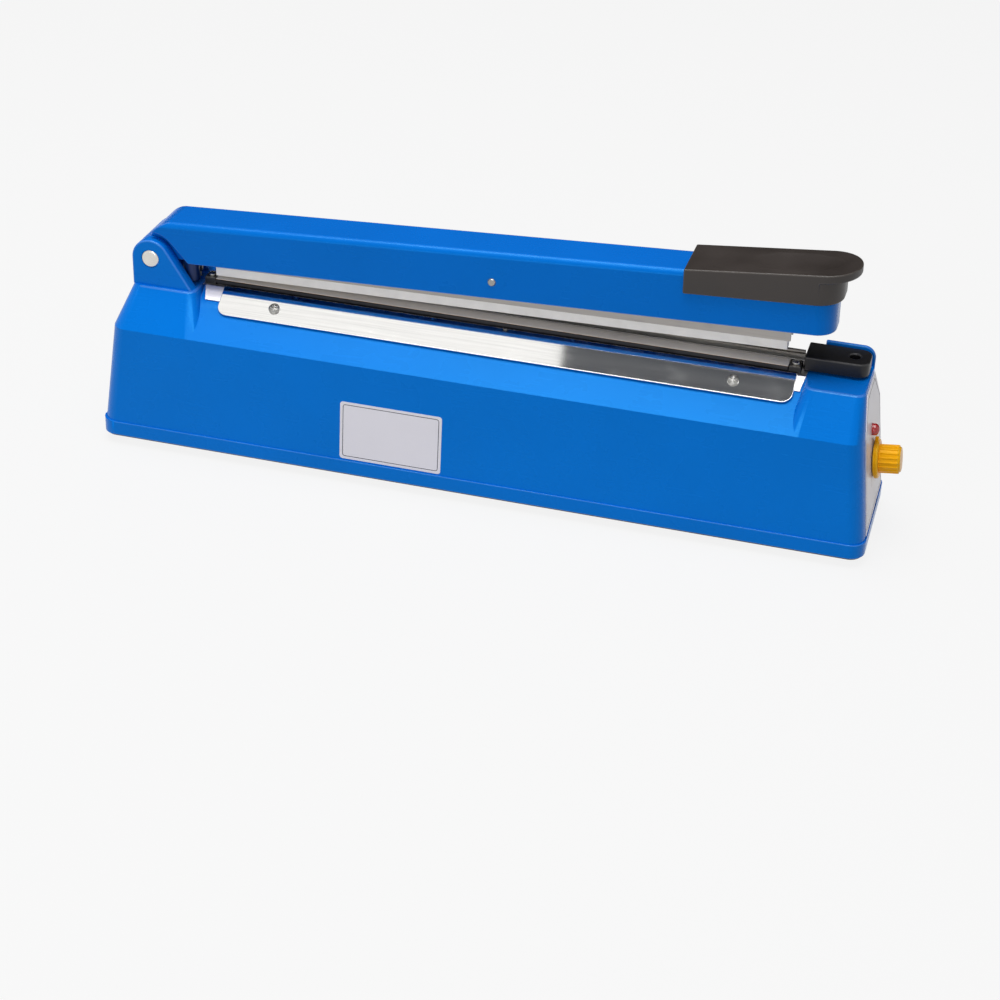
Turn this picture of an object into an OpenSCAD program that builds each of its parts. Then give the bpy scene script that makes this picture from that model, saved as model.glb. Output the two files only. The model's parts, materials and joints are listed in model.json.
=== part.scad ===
// Hand impulse sealer with a 300 mm seal bed, a hinged pressing arm and a pull cutter.
// Millimetres, +Z up, front towards -Y, hinge at the -X end.

/* [Base housing] */
// Room between the bed and the left end of the base
left_room = 55.3; // [53.5:0.1:60]
// Room between the bed and the right end of the base
right_room = 50; // [48:0.5:60]
// Depth of the base at its rim
base_d = 75; // [73:1:80]
// Wall of the base housing
base_wall = 2.5; // [2:0.1:3]
// Height of the straight rim along the lower edge
rim_h = 7.6; // [5:0.1:10]
// Step between the rim and the drafted body
rim_step = 0.8; // [0.4:0.1:1.2]
// Height of the shoulder where the front wall leans back
shoulder_z = 60.6; // [58:0.1:63]
// Height of the flat top of the two end blocks
block_z = 79.4; // [78:0.1:82]
// Inset of the front and rear wall at the shoulder
shoulder_in = 3.5; // [2.5:0.1:4]
// Inset of the end wall at the shoulder
end_in_shoulder = 7.1; // [6:0.1:8]
// Inset of the right end wall at the top
end_in_top = 10.2; // [9.5:0.1:11]
// Inset of the left end wall at the top
left_in_top = 13.5; // [13:0.1:14]
// Half depth of the end blocks at the top
block_half = 18.2; // [18:0.1:19]
// Flat ridge between the left block and the bed
left_ledge = 8; // [7.6:0.1:8.4]
// Flat ridge between the bed and the right block
right_ledge = 10.2; // [9.8:0.1:10.6]
// How much longer the left block is at the shoulder than at its top
left_spread = 14.9; // [13.5:0.1:16]
// How much longer the right block is at the shoulder than at its top
right_spread = 8.6; // [7.5:0.1:10]
// Radius of the upright corners
corner_r = 8; // [6:0.1:9]
// Rear edge of the flat ridge between the blocks, from the middle plane
ridge_back = 13; // [12.5:0.1:15]
// Height of the fence behind the cutter grip
fence_h = 10; // [8:0.1:11]
// Thickness of the fence
fence_t = 2; // [1.6:0.1:2.2]
// Length of the fence
fence_l = 25; // [20:0.5:27]

/* [Bottom] */
// Thickness of the steel bottom plate
plate_t = 1.2; // [1:0.1:1.6]
// Inset of the bottom plate inside the rim
plate_in = 1.2; // [0.8:0.1:2]
// Height of the rubber feet
foot_h = 4; // [3:0.1:6]
// Distance of the vents from the transformer
vent_reach = 110; // [100:1:120]
// Radius of the rubber feet
foot_r = 7; // [6:0.1:8]
// Inset of the feet from the base ends
foot_in_x = 34; // [30:0.5:45]
// Inset of the feet from the front and rear
foot_in_y = 15; // [14:0.5:18]
// Radius of the screw posts in the corners
post_r = 4.5; // [4:0.1:5]
// Height of the screw posts
post_h = 22; // [15:1:28]
// Number of vent slots in the bottom plate
vents = 7; // [3:1:9]

/* [Hinge] */
// Height of the hinge pin above the blocks
pin_rise = 14.9; // [14:0.1:16]
// Radius of the hinge pin
pin_r = 4.8; // [4:0.1:5.2]
// Radial clearance of the arm on the pin
pin_clear = 0.05; // [0.02:0.01:0.1]
// Radial clearance of the pin in the ears
ear_clear = 0.02; // [0.01:0.01:0.04]
// Radius of the ears round the pin
ear_r = 10.1; // [9.4:0.1:10.8]
// Thickness of one ear
ear_t = 7; // [6:0.1:7.5]
// Outer face of the ears from the middle plane
ear_out = 16.5; // [16:0.1:17]
// Reach of the ear's foot to the right of the pin
ear_foot = 21.8; // [20.5:0.1:22.5]
// Opening of the arm at rest, degrees above closed
rest_open = 1.3; // [1.2:0.05:1.6]

/* [Arm] */
// Reach of the arm past the right end of the strip
arm_over = 22.8; // [20:0.1:26]
// Width of the arm
arm_w = 27; // [26:0.1:28]
// Wall of the arm
arm_wall = 2.2; // [1.8:0.1:2.6]
// Underside of the arm below the pin's centre, measured at the pin
arm_drop = 2.1; // [1.6:0.1:2.4]
// Top of the arm above the pin's centre, measured at the pin
arm_rise = 19.2; // [18.5:0.1:21]
// Slope of the underside, degrees
arm_under_tilt = 0.9; // [0.8:0.05:1]
// Slope of the top, degrees
arm_top_tilt = 1.97; // [1.8:0.01:2.2]
// Radius of the long top edges of the arm
arm_edge_r = 3.5; // [2.5:0.1:4.5]
// Radius of the upright corners at the free end
arm_end_r = 10; // [8:0.1:11]
// Radius of the arm's rounded back end over the hinge
arm_heel_r = 18; // [17.6:0.1:18.4]
// Side gap between the hinge lug and each ear
lug_gap = 0.4; // [0.35:0.05:0.6]
// Gap round the ears where the arm is relieved
ear_gap = 3.2; // [2.8:0.1:3.6]
// Length of the solid hinge lug, from the pin
lug_l = 31; // [30:0.5:33]

/* [Arm grip] */
// Length of the grip on the arm
grip_l = 74; // [70:1:80]
// Wall of the grip's skirt
grip_wall = 2.4; // [2:0.1:2.8]
// Height of the skirt below the top edge of the arm
grip_skirt = 11; // [9:0.1:12]
// Reach of the tip past the end of the skirt
grip_tip = 7; // [5:0.1:9]
// Rise of the grip over the arm at its start
grip_rise = 1.8; // [1.5:0.1:2.4]
// Slope of the grip's top relative to the arm's top, degrees
grip_tilt = 2.6; // [2:0.1:3]
// Thickness of the overhanging tip
grip_lip = 4.4; // [4:0.1:5]
// Depth of the thumb dish
dish_depth = 1; // [0.6:0.1:1.2]
// Length of the thumb dish
dish_l = 50; // [40:1:56]
// Width of the thumb dish
dish_w = 23; // [18:0.5:25]

/* [Seal line] */
// Length of the seal bed
bed_l = 298; // [280:1:320]
// Width of the seal bed
bed_w = 8.5; // [8:0.1:9]
// Rear face of the seal bed from the middle plane
bed_back = 1.5; // [1.2:0.1:1.6]
// Height of the seal bed
bed_h = 3.4; // [3.2:0.1:4]
// Height of the undercut along the front of the bed
undercut_h = 1.6; // [1.3:0.1:1.7]
// Depth of the undercut
undercut_d = 1.6; // [1.2:0.1:2]
// Thickness of the saddle plate under the bed
saddle_t = 0.8; // [0.6:0.1:1]
// Gap between the saddle plate and the blocks
saddle_gap = 0.8; // [0.6:0.1:1]
// Width of the saddle plate's front leg along the slope
saddle_leg = 8.4; // [7:0.1:9.5]
// Thickness of the insulating tape
tape_t = 0.2; // [0.15:0.01:0.3]
// Thickness of the heating element
element_t = 0.15; // [0.12:0.01:0.25]
// Width of the heating element
element_w = 3; // [2:0.1:4]
// Thickness of the woven cover cloth
cloth_t = 0.2; // [0.15:0.01:0.3]
// Gap between strip and cloth when the arm is closed
closed_gap = 0.3; // [0.3:0.05:0.5]
// How much shorter the silicone strip is than the bed
strip_short = 1; // [0:0.1:3]
// Reach of the strip past the left end of the bed
strip_lead = 0.5; // [0:0.1:0.6]
// Width of the silicone strip
strip_w = 6; // [5:0.1:6.5]
// Height of the strip below its channel
strip_h = 5.5; // [5:0.1:6]
// Depth of the strip's root in the channel
strip_root = 3; // [2.5:0.1:3.5]
// Width of the pressure channel
channel_w = 9; // [8.6:0.1:9]
// Height of the pressure channel
channel_h = 7.5; // [7:0.1:8]
// Number of screws that hold the channel
channel_screw_count = 4; // [3:1:5]

/* [Retaining plate] */
// Inset of the retaining plate's left end from the bed's left end
cover_in = 5; // [4:0.1:6]
// Reach of the retaining plate past the bed's right end
cover_out = 5; // [4:0.1:6]
// Width of the retaining plate along the slope
cover_w = 17; // [16:0.1:18]
// Thickness of the retaining plate
cover_t = 0.8; // [0.6:0.1:1]
// Radius of its two lower corners
cover_r = 5.5; // [3:0.1:7]
// Inset of the two plate screws from the plate's ends
cover_screw_in = 30; // [20:1:40]
// Shank radius of the plate and case screws
screw_r = 1.5; // [1.3:0.1:1.7]

/* [Cutter] */
// Width of the cutter bar
bar_w = 8; // [7:0.1:8.2]
// Thickness of the cutter bar
bar_t = 2.5; // [2:0.1:2.6]
// Gap between the seal bed and the cutter bar
bar_gap = 1; // [0.8:0.1:1.1]
// Running gap of the bar in its guide
guide_gap = 0.4; // [0.3:0.05:0.5]
// Wall of the guide
guide_t = 0.8; // [0.7:0.1:0.9]
// Width of the lip that holds the bar down
guide_lip = 1.1; // [1:0.1:1.4]
// Length of the bar left of the bed's left end
bar_left = 4; // [3:0.1:4.5]
// Length of the cutter grip
cut_grip_l = 31.5; // [30:0.1:32]
// Width of the cutter grip
cut_grip_w = 18; // [16:0.1:18.4]
// Height of the cutter grip
cut_grip_h = 7.5; // [6.5:0.1:8]
// Gap between the bed's terminal and the cutter grip
cut_grip_gap = 0.8; // [0.6:0.1:1]
// Radius of the grip's two corners
cut_grip_r = 5.5; // [4.5:0.1:7]
// Diameter of the hang hole in the grip
hang_d = 5.5; // [4.5:0.1:6.5]
// Length of the blade carrier
carrier_l = 10; // [8:0.1:10.5]
// Height of the blade carrier
carrier_h = 5.4; // [5:0.1:5.6]

/* [Controls] */
// Height of the timer knob's axis
knob_z = 37.4; // [35:0.1:38]
// Offset of the knob and timer from the middle plane
knob_y = 0; // [-3:0.1:3]
// Radius of the knob's flange
knob_flange_r = 10; // [9:0.1:11]
// Thickness of the knob's flange
knob_flange_t = 2.6; // [2:0.1:3]
// Radius of the knob's body
knob_r = 7; // [6.6:0.1:7.6]
// Reach of the knob from the end wall
knob_reach = 14.2; // [13:0.1:15.5]
// Number of grip ribs round the knob
knob_ribs = 18; // [12:1:24]
// Gap between the knob and the label
knob_gap = 0.5; // [0.35:0.05:0.7]
// Radius of the timer's shaft
shaft_r = 3; // [2.5:0.1:3.2]
// Radius of the timer's threaded bushing
bushing_r = 4.2; // [4:0.1:4.4]
// Height of the pilot lamp
lamp_z = 55.4; // [53:0.1:55.6]
// Offset of the lamp from the middle plane
lamp_y = -4; // [-6:0.1:2]
// Radius of the lamp's lens
lamp_r = 3; // [2.5:0.1:3.4]
// Thickness of the end plate
label_t = 0.5; // [0.4:0.1:0.8]
// Height of the end plate's lower edge
label_z = 9; // [8.6:0.1:12]
// Distance between the end plate's upper edge and the block's top
label_down = 1.5; // [1.2:0.1:3]
// Inset of the end plate from the rounded corners
label_in = 0.4; // [0.2:0.1:2]
// Offset of the switch button from the middle plane
switch_y = 5; // [4.6:0.1:5.2]
// Radius of the switch button
button_r = 1.8; // [1.5:0.1:2]
// Height of the switch button above the block
button_rise = 1.6; // [1.4:0.1:1.8]
// Distance of the switch and the spring from the hinge pin
switch_reach = 17; // [16.6:0.1:17.4]
// Inner diameter of the cable grommet
cable_d = 6.4; // [5.5:0.1:7]

/* [Return spring] */
// Offset of the spring from the middle plane
spring_y = -4; // [-4.4:0.1:-3.8]
// Outer radius of the spring cup
cup_r = 4.3; // [4.2:0.1:4.5]
// Wall of the spring cup
cup_wall = 0.9; // [0.7:0.1:1]
// Gap between the closed cup and the block
cup_gap = 0.8; // [0.7:0.1:1.2]
// Middle radius of the spring's coils
coil_r = 2.5; // [2.2:0.1:2.6]
// Wire radius of the spring
wire_r = 0.45; // [0.35:0.05:0.5]
// Number of coils
coils = 6; // [4:1:6]

/* [Transformer] */
// Width of the transformer core
core_w = 57; // [54:0.5:60]
// Height of the transformer core
core_h = 47.5; // [45:0.5:50]
// Thickness of the core's stack
core_t = 28; // [24:0.5:30]
// Width of the core's middle leg
leg_w = 19; // [18:0.5:20]
// Middle of the transformer from the base's left end
core_in = 130; // [120:1:140]
// Thickness of the transformer strap
strap_t = 1; // [0.8:0.1:1.4]

/* [Hidden] */
$fn = 48;
eps = 0.01;

// Half sizes of the base at the rim, at the shoulder and at the top
base_l = bed_l + left_room + right_room;
bed_mid_x = (left_room - right_room) / 2;
rim_x = base_l / 2;
rim_y = base_d / 2;
shoulder_x = rim_x - end_in_shoulder;
shoulder_y = rim_y - shoulder_in;
top_x = rim_x - end_in_top;
left_top_x = rim_x - left_in_top;
top_y = block_half;
left_top_l = left_room - left_in_top - left_ledge;
left_foot_l = left_top_l + left_spread;
right_top_l = right_room - end_in_top - right_ledge;
right_foot_l = right_top_l + right_spread;
hull_fn = 32;
dish_fn = 240;
top_corner_r = 5;

// End wall: its draft, and where its outer face lies at a height
end_draft = atan((end_in_shoulder - rim_step) / (shoulder_z - rim_h));
function end_wall_x(z) = rim_x - rim_step - (z - rim_h) * tan(end_draft);
rear_draft = atan((shoulder_in - rim_step) / (shoulder_z - rim_h));
function rear_wall_y(z) = rim_y - rim_step - (z - rim_h) * tan(rear_draft);

// The part's origin is under the middle of its whole length, knob included
knob_top_r = 1;
knob_tip_x = end_wall_x(knob_z) + knob_reach * cos(end_draft) + (knob_r - knob_top_r) * sin(end_draft);
mid_x = (knob_tip_x - rim_x) / 2;
core_x = -rim_x + core_in;
floor_z = -plate_t - foot_h;

// Faces of the seal bed in depth
bed_front = bed_back - bed_w;
seal_y = bed_back - bed_w / 2;

// Hinge pin and the front panel's slope, degrees
pin_x = -rim_x + left_in_top + ear_r;
pin_z = block_z + pin_rise;
ear_in = ear_out - ear_t;
lug_y = ear_in - lug_gap;
ridge_front = bed_front - 0.15;
panel_slope = atan((block_z - shoulder_z) / (shoulder_y + ridge_front));
panel_l = (block_z - shoulder_z) / sin(panel_slope);

// Heights of the seal line, from the ridge up to the closed arm
bed_z = block_z + saddle_t;
bed_top = bed_z + bed_h;
tape_top = bed_top + tape_t;
element_top = tape_top + element_t;
cloth_top = element_top + cloth_t;
strip_z = cloth_top + closed_gap;
channel_z = strip_z + strip_h;
channel_top = channel_z + channel_h;
bed_x0 = bed_mid_x - bed_l / 2;
bed_x1 = bed_mid_x + bed_l / 2;
strip_l = bed_l - strip_short;
strip_x0 = bed_x0 - strip_lead;
saddle_x0 = bed_x0 - left_ledge + saddle_gap;
saddle_x1 = bed_x1 + right_ledge - saddle_gap;
terminal_l = 6;
terminal_gap = 0.3;
terminal_head_r = 2.2;

// Retaining plate and its screws
cover_l = bed_l - cover_in + cover_out;
cover_mid_x = bed_mid_x + (cover_in + cover_out) / 2;
cover_pitch = cover_l - 2 * cover_screw_in;

// Cutter
bar_y0 = bed_back + bar_gap;
bar_y = bar_y0 + bar_w / 2;
bar_z = bed_z + guide_t + guide_gap;
bar_x0 = bed_x0 - bar_left;
cut_grip_x0 = bed_x1 + terminal_gap + terminal_l + cut_grip_gap;
bar_in_grip = 12;
cut_grip_lift = 1.75;
cut_grip_z = bar_z + bar_t / 2 - cut_grip_h / 2 + cut_grip_lift;

// Arm in its own frame: the pin is the origin and the arm is closed
function under_w(u) = u * tan(arm_under_tilt) - arm_drop;
function top_w(u) = u * tan(arm_top_tilt) + arm_rise;
arm_reach = strip_x0 + strip_l - pin_x + arm_over;
grip_start = arm_reach - grip_l;
relief_r = ear_r + ear_gap;
relief_turn = 8;
arm_y = arm_w / 2;
strip_w0 = strip_z - pin_z;
channel_w0 = channel_z - pin_z;
channel_w1 = channel_top - pin_z;
side_screw_u = 181;
side_screw_w = 9.8;

// Switch and spring seats
switch_x = pin_x + switch_reach;
button_top = block_z + button_rise;
switch_l = 20;
switch_w = 6.4;
switch_h = 10;
switch_top = block_z - base_wall - 0.1;
striker_r = 2.4;
striker_gap = 0.35;
button_clear = 0.05;
cup_floor = block_z + cup_gap;
spring_seat = block_z;

// Small fasteners
head_r = 2.9;
head_h = 1.9;
slot_depth = 0.9;
screw_l = 8;
fit = 0.1;

// Shared placing and profile helpers
module place() { translate([-mid_x, 0, -floor_z]) children(); }
module arm_place() { place() translate([pin_x, 0, pin_z]) rotate([0, -rest_open, 0]) children(); }
module along_x(x0, x1) { translate([x0, 0, 0]) rotate([90, 0, 90]) linear_extrude(x1 - x0) children(); }
module along_y(y0, y1) { translate([0, y1, 0]) rotate([90, 0, 0]) linear_extrude(y1 - y0) children(); }
module on_end_wall(y, z) { translate([end_wall_x(z), y, z]) rotate([0, 90 - end_draft, 0]) children(); }
module on_rear_wall(x, z) { translate([x, rear_wall_y(z), z]) rotate([-90 + rear_draft, 0, 0]) children(); }
module on_panel() { translate([0, -shoulder_y, shoulder_z]) rotate([panel_slope, 0, 0]) children(); }
module block3(x0, x1, y0, y1, z0, z1) { translate([x0, y0, z0]) cube([x1 - x0, y1 - y0, z1 - z0]); }
module round_rect(x0, x1, y0, y1, r) {
    translate([x0 + r, y0]) square([x1 - x0 - 2 * r, y1 - y0]);
    translate([x0, y0 + r]) square([x1 - x0, y1 - y0 - 2 * r]);
    for (x = [x0 + r, x1 - r], y = [y0 + r, y1 - r]) translate([x, y]) circle(r);
}
module slab(x0, x1, y, r, z) {
    translate([0, 0, z]) linear_extrude(eps) round_rect(x0, x1, -y, y, r, $fn = hull_fn);
}
module pan_screw(l, r = head_r) {
    crown_r = r * 1.6;
    slot_l = r * 1.4;
    slot_w = 0.7;
    translate([0, 0, -l]) cylinder(r = screw_r, h = l + eps);
    difference() {
        rotate_extrude() intersection() {
            translate([0, head_h - crown_r]) circle(crown_r);
            square([r, head_h]);
        }
        for (a = [0, 90]) rotate(a) translate([-slot_l / 2, -slot_w / 2, head_h - slot_depth])
            cube([slot_l, slot_w, 1]);
    }
}

module screw_hole(h) { cylinder(r = screw_r + fit, h = h); }

// Places that repeat
function corner_posts() = [for (x = [-1, 1], y = [-1, 1])
    [x * (rim_x - 17), y * (rim_y - base_wall - post_r + 0.8)]];
function foot_places() = [for (x = [-1, 1], y = [-1, 1]) [x * (rim_x - foot_in_x), y * (rim_y - foot_in_y)]];
function cover_places() = [for (s = [-1, 1]) cover_mid_x + s * cover_pitch / 2];
function bed_places() = [for (s = [-1, 1]) bed_mid_x + s * bed_l * 0.3];
function channel_places() = [for (i = [0 : channel_screw_count - 1])
    strip_x0 - pin_x + strip_l * (i + 0.5) / channel_screw_count];
function strap_places() = [for (s = [-1, 1]) core_x + s * (core_w / 2 + strap_t + 6)];

// Base housing: drafted body, two end blocks and the sloped panel between them
module base_form(t) {
    r = corner_r - t;
    low = t > 0 ? -1 : rim_h;
    sink = t > 0 ? 1.4 : 0;
    hull() {
        for (z = [low, shoulder_z - sink])
            slab(t - end_wall_x(z), end_wall_x(z) - t, rear_wall_y(z) - t, r, z);
    }
    end_block(t, -shoulder_x, left_foot_l, -left_top_x, left_top_l);
    mirror([1, 0, 0]) end_block(t, -shoulder_x, right_foot_l, -top_x, right_top_l);
    foot_y = shoulder_y - t / sin(panel_slope);
    z1 = block_z - t;
    dz = z1 - shoulder_z + t / cos(panel_slope);
    lap = t > 0 ? 12 : 7;
    along_x(-shoulder_x + left_foot_l - lap, shoulder_x - right_foot_l + lap) polygon([
        [-foot_y, shoulder_z - sink - eps], [-foot_y, shoulder_z],
        [-shoulder_y + dz / tan(panel_slope), z1], [ridge_back - t, z1],
        [foot_y, shoulder_z], [foot_y, shoulder_z - sink - eps]]);
}
module end_block(t, foot_x, foot_l, head_x, head_l) {
    sink = t > 0 ? 1.5 : 0;
    hull() {
        slab(foot_x + t, foot_x + foot_l - t, shoulder_y - t, corner_r - t, shoulder_z - sink - eps);
        slab(head_x + t, head_x + head_l - t, top_y - t, top_corner_r - t, block_z - t - eps);
    }
}
module ear_outline() {
    d = norm([ear_foot, pin_rise]);
    a = -atan(pin_rise / ear_foot) + acos(ear_r / d);
    circle(ear_r);
    polygon([[-ear_r, 0], [-ear_r, -pin_rise - eps], [ear_foot, -pin_rise - eps],
        [ear_r * cos(a), ear_r * sin(a)], [0, 0]]);
}
module base_shell() {
    color("dodgerblue") place() difference() {
        union() {
            linear_extrude(rim_h) round_rect(-rim_x, rim_x, -rim_y, rim_y, corner_r);
            base_form(0);
            for (s = [-1, 1]) translate([pin_x, 0, pin_z])
                along_y(s > 0 ? ear_in : -ear_out, s > 0 ? ear_out : -ear_in) ear_outline();
            along_y(top_y - fence_t, top_y) fence_outline();
        }
        difference() {
            base_form(base_wall);
            for (p = corner_posts()) translate([p[0], p[1], 0]) cylinder(r = post_r, h = post_h);
            switch_rib();
            on_panel() for (x = cover_places()) translate([x, cover_screw_s(), -9]) cylinder(r = 3.4, h = 9);
        }
        translate([pin_x, 0, pin_z]) rotate([90, 0, 0])
            cylinder(r = pin_r + ear_clear, h = 2 * ear_out + 1, center = true);
        for (p = corner_posts()) translate([p[0], p[1], -eps]) screw_hole(screw_l + 2);
        on_panel() for (x = cover_places()) translate([x, cover_screw_s(), -8]) screw_hole(10);
        for (x = bed_places()) translate([x, seal_y, block_z - 5]) screw_hole(6);
        translate([switch_x, switch_y, block_z - 5]) cylinder(r = button_r + 0.6, h = 6);
        for (x = switch_screw_places()) translate([x, switch_y, switch_top - switch_h / 2])
            rotate([-90, 0, 0]) cylinder(r = 1.2 + fit, h = switch_w / 2 + 5);
        on_end_wall(knob_y, knob_z) translate([0, 0, -5]) cylinder(r = bushing_r + fit, h = 6);
        on_end_wall(lamp_y, lamp_z) translate([0, 0, -5]) cylinder(r = lamp_r + fit, h = 6);
        on_rear_wall(grommet_x, grommet_z) translate([0, 0, -5]) cylinder(r = cable_d / 2 + 1.5 + fit, h = 6);
    }
}
module fence_outline() {
    x1 = top_x;
    r = 6;
    translate([x1 - fence_l, block_z - 2]) square([fence_l - r, fence_h + 2]);
    translate([x1 - r - eps, block_z - 2]) square([r + eps, fence_h + 2 - r]);
    translate([x1 - r, block_z + fence_h - r]) circle(r);
}
module switch_rib() {
    block3(switch_x - switch_l / 2, switch_x + switch_l / 2, switch_y + switch_w / 2 + 0.05,
        switch_y + switch_w / 2 + 2.5, switch_top - switch_h, block_z - base_wall + 1);
}
function cover_screw_s() = panel_l / 2 + 8;
function switch_screw_places() = [for (s = [-1, 1]) switch_x + s * (switch_l / 2 - 4)];
grommet_x = -rim_x + 50;
grommet_z = 22;

module bottom_plate() {
    vent_x = core_x + vent_reach;
    vent_w = 3;
    vent_l = 26;
    color("dimgray") place() difference() {
        translate([0, 0, -plate_t]) linear_extrude(plate_t)
            round_rect(plate_in - rim_x, rim_x - plate_in, plate_in - rim_y, rim_y - plate_in,
                corner_r - plate_in);
        for (p = corner_posts()) translate([p[0], p[1], -plate_t - 1]) screw_hole(plate_t + 2);
        for (p = foot_places()) translate([p[0], p[1], -plate_t - 1])
            cylinder(r = foot_r * 0.4 + fit, h = plate_t + 2);
        for (x = strap_places()) translate([x, 0, -plate_t - 1]) screw_hole(plate_t + 2);
        for (i = [0 : vents - 1]) translate([vent_x + i * 3 * vent_w, 0, -plate_t - 1])
            linear_extrude(plate_t + 2)
            round_rect(-vent_w / 2, vent_w / 2, -vent_l / 2, vent_l / 2, vent_w / 2 - eps);
    }
}
module rubber_feet() {
    neck = foot_r * 0.4;
    color("black") place() for (p = foot_places()) translate([p[0], p[1], 0]) rotate_extrude() polygon([
        [0, floor_z], [foot_r - 1.4, floor_z], [foot_r - 0.9, floor_z + 0.5], [foot_r, -plate_t],
        [neck, -plate_t], [neck, 0], [neck + 1, 0], [neck * 0.6, 2.4], [0, 2.4]]);
}
module bottom_screws() {
    color("silver") place() for (p = corner_posts()) translate([p[0], p[1], -plate_t])
        rotate([180, 0, 0]) pan_screw(screw_l + plate_t);
}
module cable_grommet() {
    r = cable_d / 2;
    color("black") place() on_rear_wall(grommet_x, grommet_z) rotate_extrude() polygon([
        [r, -base_wall - 2], [r + 2.6, -base_wall - 2], [r + 3, -base_wall - 0.02],
        [r + 1.5, -base_wall - 0.02], [r + 1.5, 0.02], [r + 3, 0.02], [r + 2.6, 1], [r + 0.4, 1], [r, 0.6]]);
}

// Hinge
module pin_axis() { translate([pin_x, 0, pin_z]) rotate([-90, 0, 0]) children(); }
groove_d = 0.8;
clip_t = 0.9;
module hinge_pin() {
    y1 = ear_out + 0.1;
    color("gainsboro") place() pin_axis() rotate_extrude() polygon([
        [0, -ear_out - 0.4], [pin_r - 0.7, -ear_out - 0.4], [pin_r, -ear_out + 0.3],
        [pin_r, y1], [pin_r - groove_d, y1], [pin_r - groove_d, y1 + clip_t + 0.1],
        [pin_r, y1 + clip_t + 0.1], [pin_r, y1 + clip_t + 1], [pin_r - 0.7, y1 + clip_t + 1.6],
        [0, y1 + clip_t + 1.6]]);
}
module hinge_clip() {
    r = pin_r - groove_d + 0.02;
    color("gray") place() pin_axis() translate([0, 0, ear_out + 0.12]) difference() {
        cylinder(r = pin_r + 2.2, h = clip_t);
        translate([0, 0, -1]) cylinder(r = r, h = clip_t + 2);
        translate([-r, 0, -1]) cube([2 * r, pin_r + 3, clip_t + 2]);
    }
}

// Return spring: one unbroken wire wound from a formula
cup_top_w = under_w(switch_reach - cup_r) - 0.02;
cup_roof = 1;
spring_slack = 0.6;
spring_rise = pin_z + cup_top_w - cup_roof - spring_slack - spring_seat;
wire_sides = 6;
coil_steps = 8;
coil_rise = spring_rise - 2 * wire_r - 0.04;
function wire_mid(i) = let (a = 360 * i / coil_steps)
    [coil_r * cos(a), coil_r * sin(a), wire_r + 0.02 + coil_rise * i / (coils * coil_steps)];
function wire_ring(i) = let (a = 360 * i / coil_steps, c = wire_mid(i)) [for (k = [0 : wire_sides - 1])
    let (b = 360 * k / wire_sides) c + wire_r * [cos(a) * cos(b), sin(a) * cos(b), sin(b)]];
wire_gap = min([for (i = [0 : coils * coil_steps], j = [0 : coils * coil_steps])
    if (j - i > coil_steps / 2) norm(wire_mid(i) - wire_mid(j))]) - 2 * wire_r;
echo(least_gap_between_spring_turns = wire_gap);
module return_spring() {
    n = coils * coil_steps;
    points = [for (i = [0 : n]) each wire_ring(i)];
    sides = [for (i = [0 : n - 1], k = [0 : wire_sides - 1]) let (
        p = i * wire_sides + k, q = i * wire_sides + (k + 1) % wire_sides)
        each [[p, q + wire_sides, q], [p, p + wire_sides, q + wire_sides]]];
    last = n * wire_sides;
    caps = [for (k = [1 : wire_sides - 2]) each [[0, k, k + 1], [last, last + k + 1, last + k]]];
    color("silver") place() translate([pin_x + switch_reach, spring_y, spring_seat])
        polyhedron(points, concat(sides, caps));
}

// Seal line
guide_back = bar_y0 + bar_w + guide_gap + guide_t;
saddle_back = guide_back + 0.2;
leg_gap_left = 2.5;
leg_gap_right = 0.9;
bed_screw_bite = 2;
module saddle_plate() {
    d = [cos(panel_slope), sin(panel_slope)];
    n = [-sin(panel_slope), cos(panel_slope)];
    ridge = [ridge_front, block_z];
    start = ridge - saddle_leg * d;
    color("lightgray") place() difference() {
        along_x(saddle_x0, saddle_x1) polygon([
            start, ridge, [saddle_back, block_z], [saddle_back, bed_z],
            [ridge_front - saddle_t * tan(panel_slope / 2), bed_z], start + saddle_t * n]);
        for (x = bed_places()) translate([x, seal_y, block_z - 1]) screw_hole(3);
        on_panel() for (x = cover_places()) translate([x, cover_screw_s(), -1]) screw_hole(4);
        on_panel() translate([0, 0, -1]) linear_extrude(saddle_t + 2) leg_ends();
    }
}
module leg_ends() {
    wide = 30;
    top_s = panel_l + 0.4;
    x0 = [-shoulder_x + left_foot_l, -left_top_x + left_top_l] + leg_gap_left * [1, 1];
    x1 = [shoulder_x - right_foot_l, top_x - right_top_l] - leg_gap_right * [1, 1];
    polygon([[x0[0], 0], [x0[1], top_s], [x0[1] - wide, top_s], [x0[0] - wide, 0]]);
    polygon([[x1[0], 0], [x1[0] + wide, 0], [x1[1] + wide, top_s], [x1[1], top_s]]);
}
module seal_bed() {
    bevel = 0.4;
    color("darkgray") place() difference() {
        along_x(bed_x0, bed_x1) polygon([
            [bed_front + undercut_d, bed_z], [bed_back, bed_z], [bed_back, bed_top],
            [bed_front + bevel, bed_top], [bed_front, bed_top - bevel], [bed_front, bed_z + undercut_h],
            [bed_front + undercut_d, bed_z + undercut_h]]);
        for (x = bed_places()) translate([x, seal_y, bed_z - 1]) screw_hole(bed_screw_bite + 1.2);
    }
}
module bed_screws() {
    color("silver") place() for (x = bed_places()) translate([x, seal_y, block_z - base_wall])
        rotate([180, 0, 0]) pan_screw(base_wall + saddle_t + bed_screw_bite);
}
module insulating_tape() {
    color("peru") place() block3(bed_x0, bed_x1, bed_front + 0.5, bed_back, bed_top, tape_top);
}
tab_w = 6.6;
terminal_x = [bed_x0 - terminal_gap - terminal_l, bed_x1 + terminal_gap];
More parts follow.
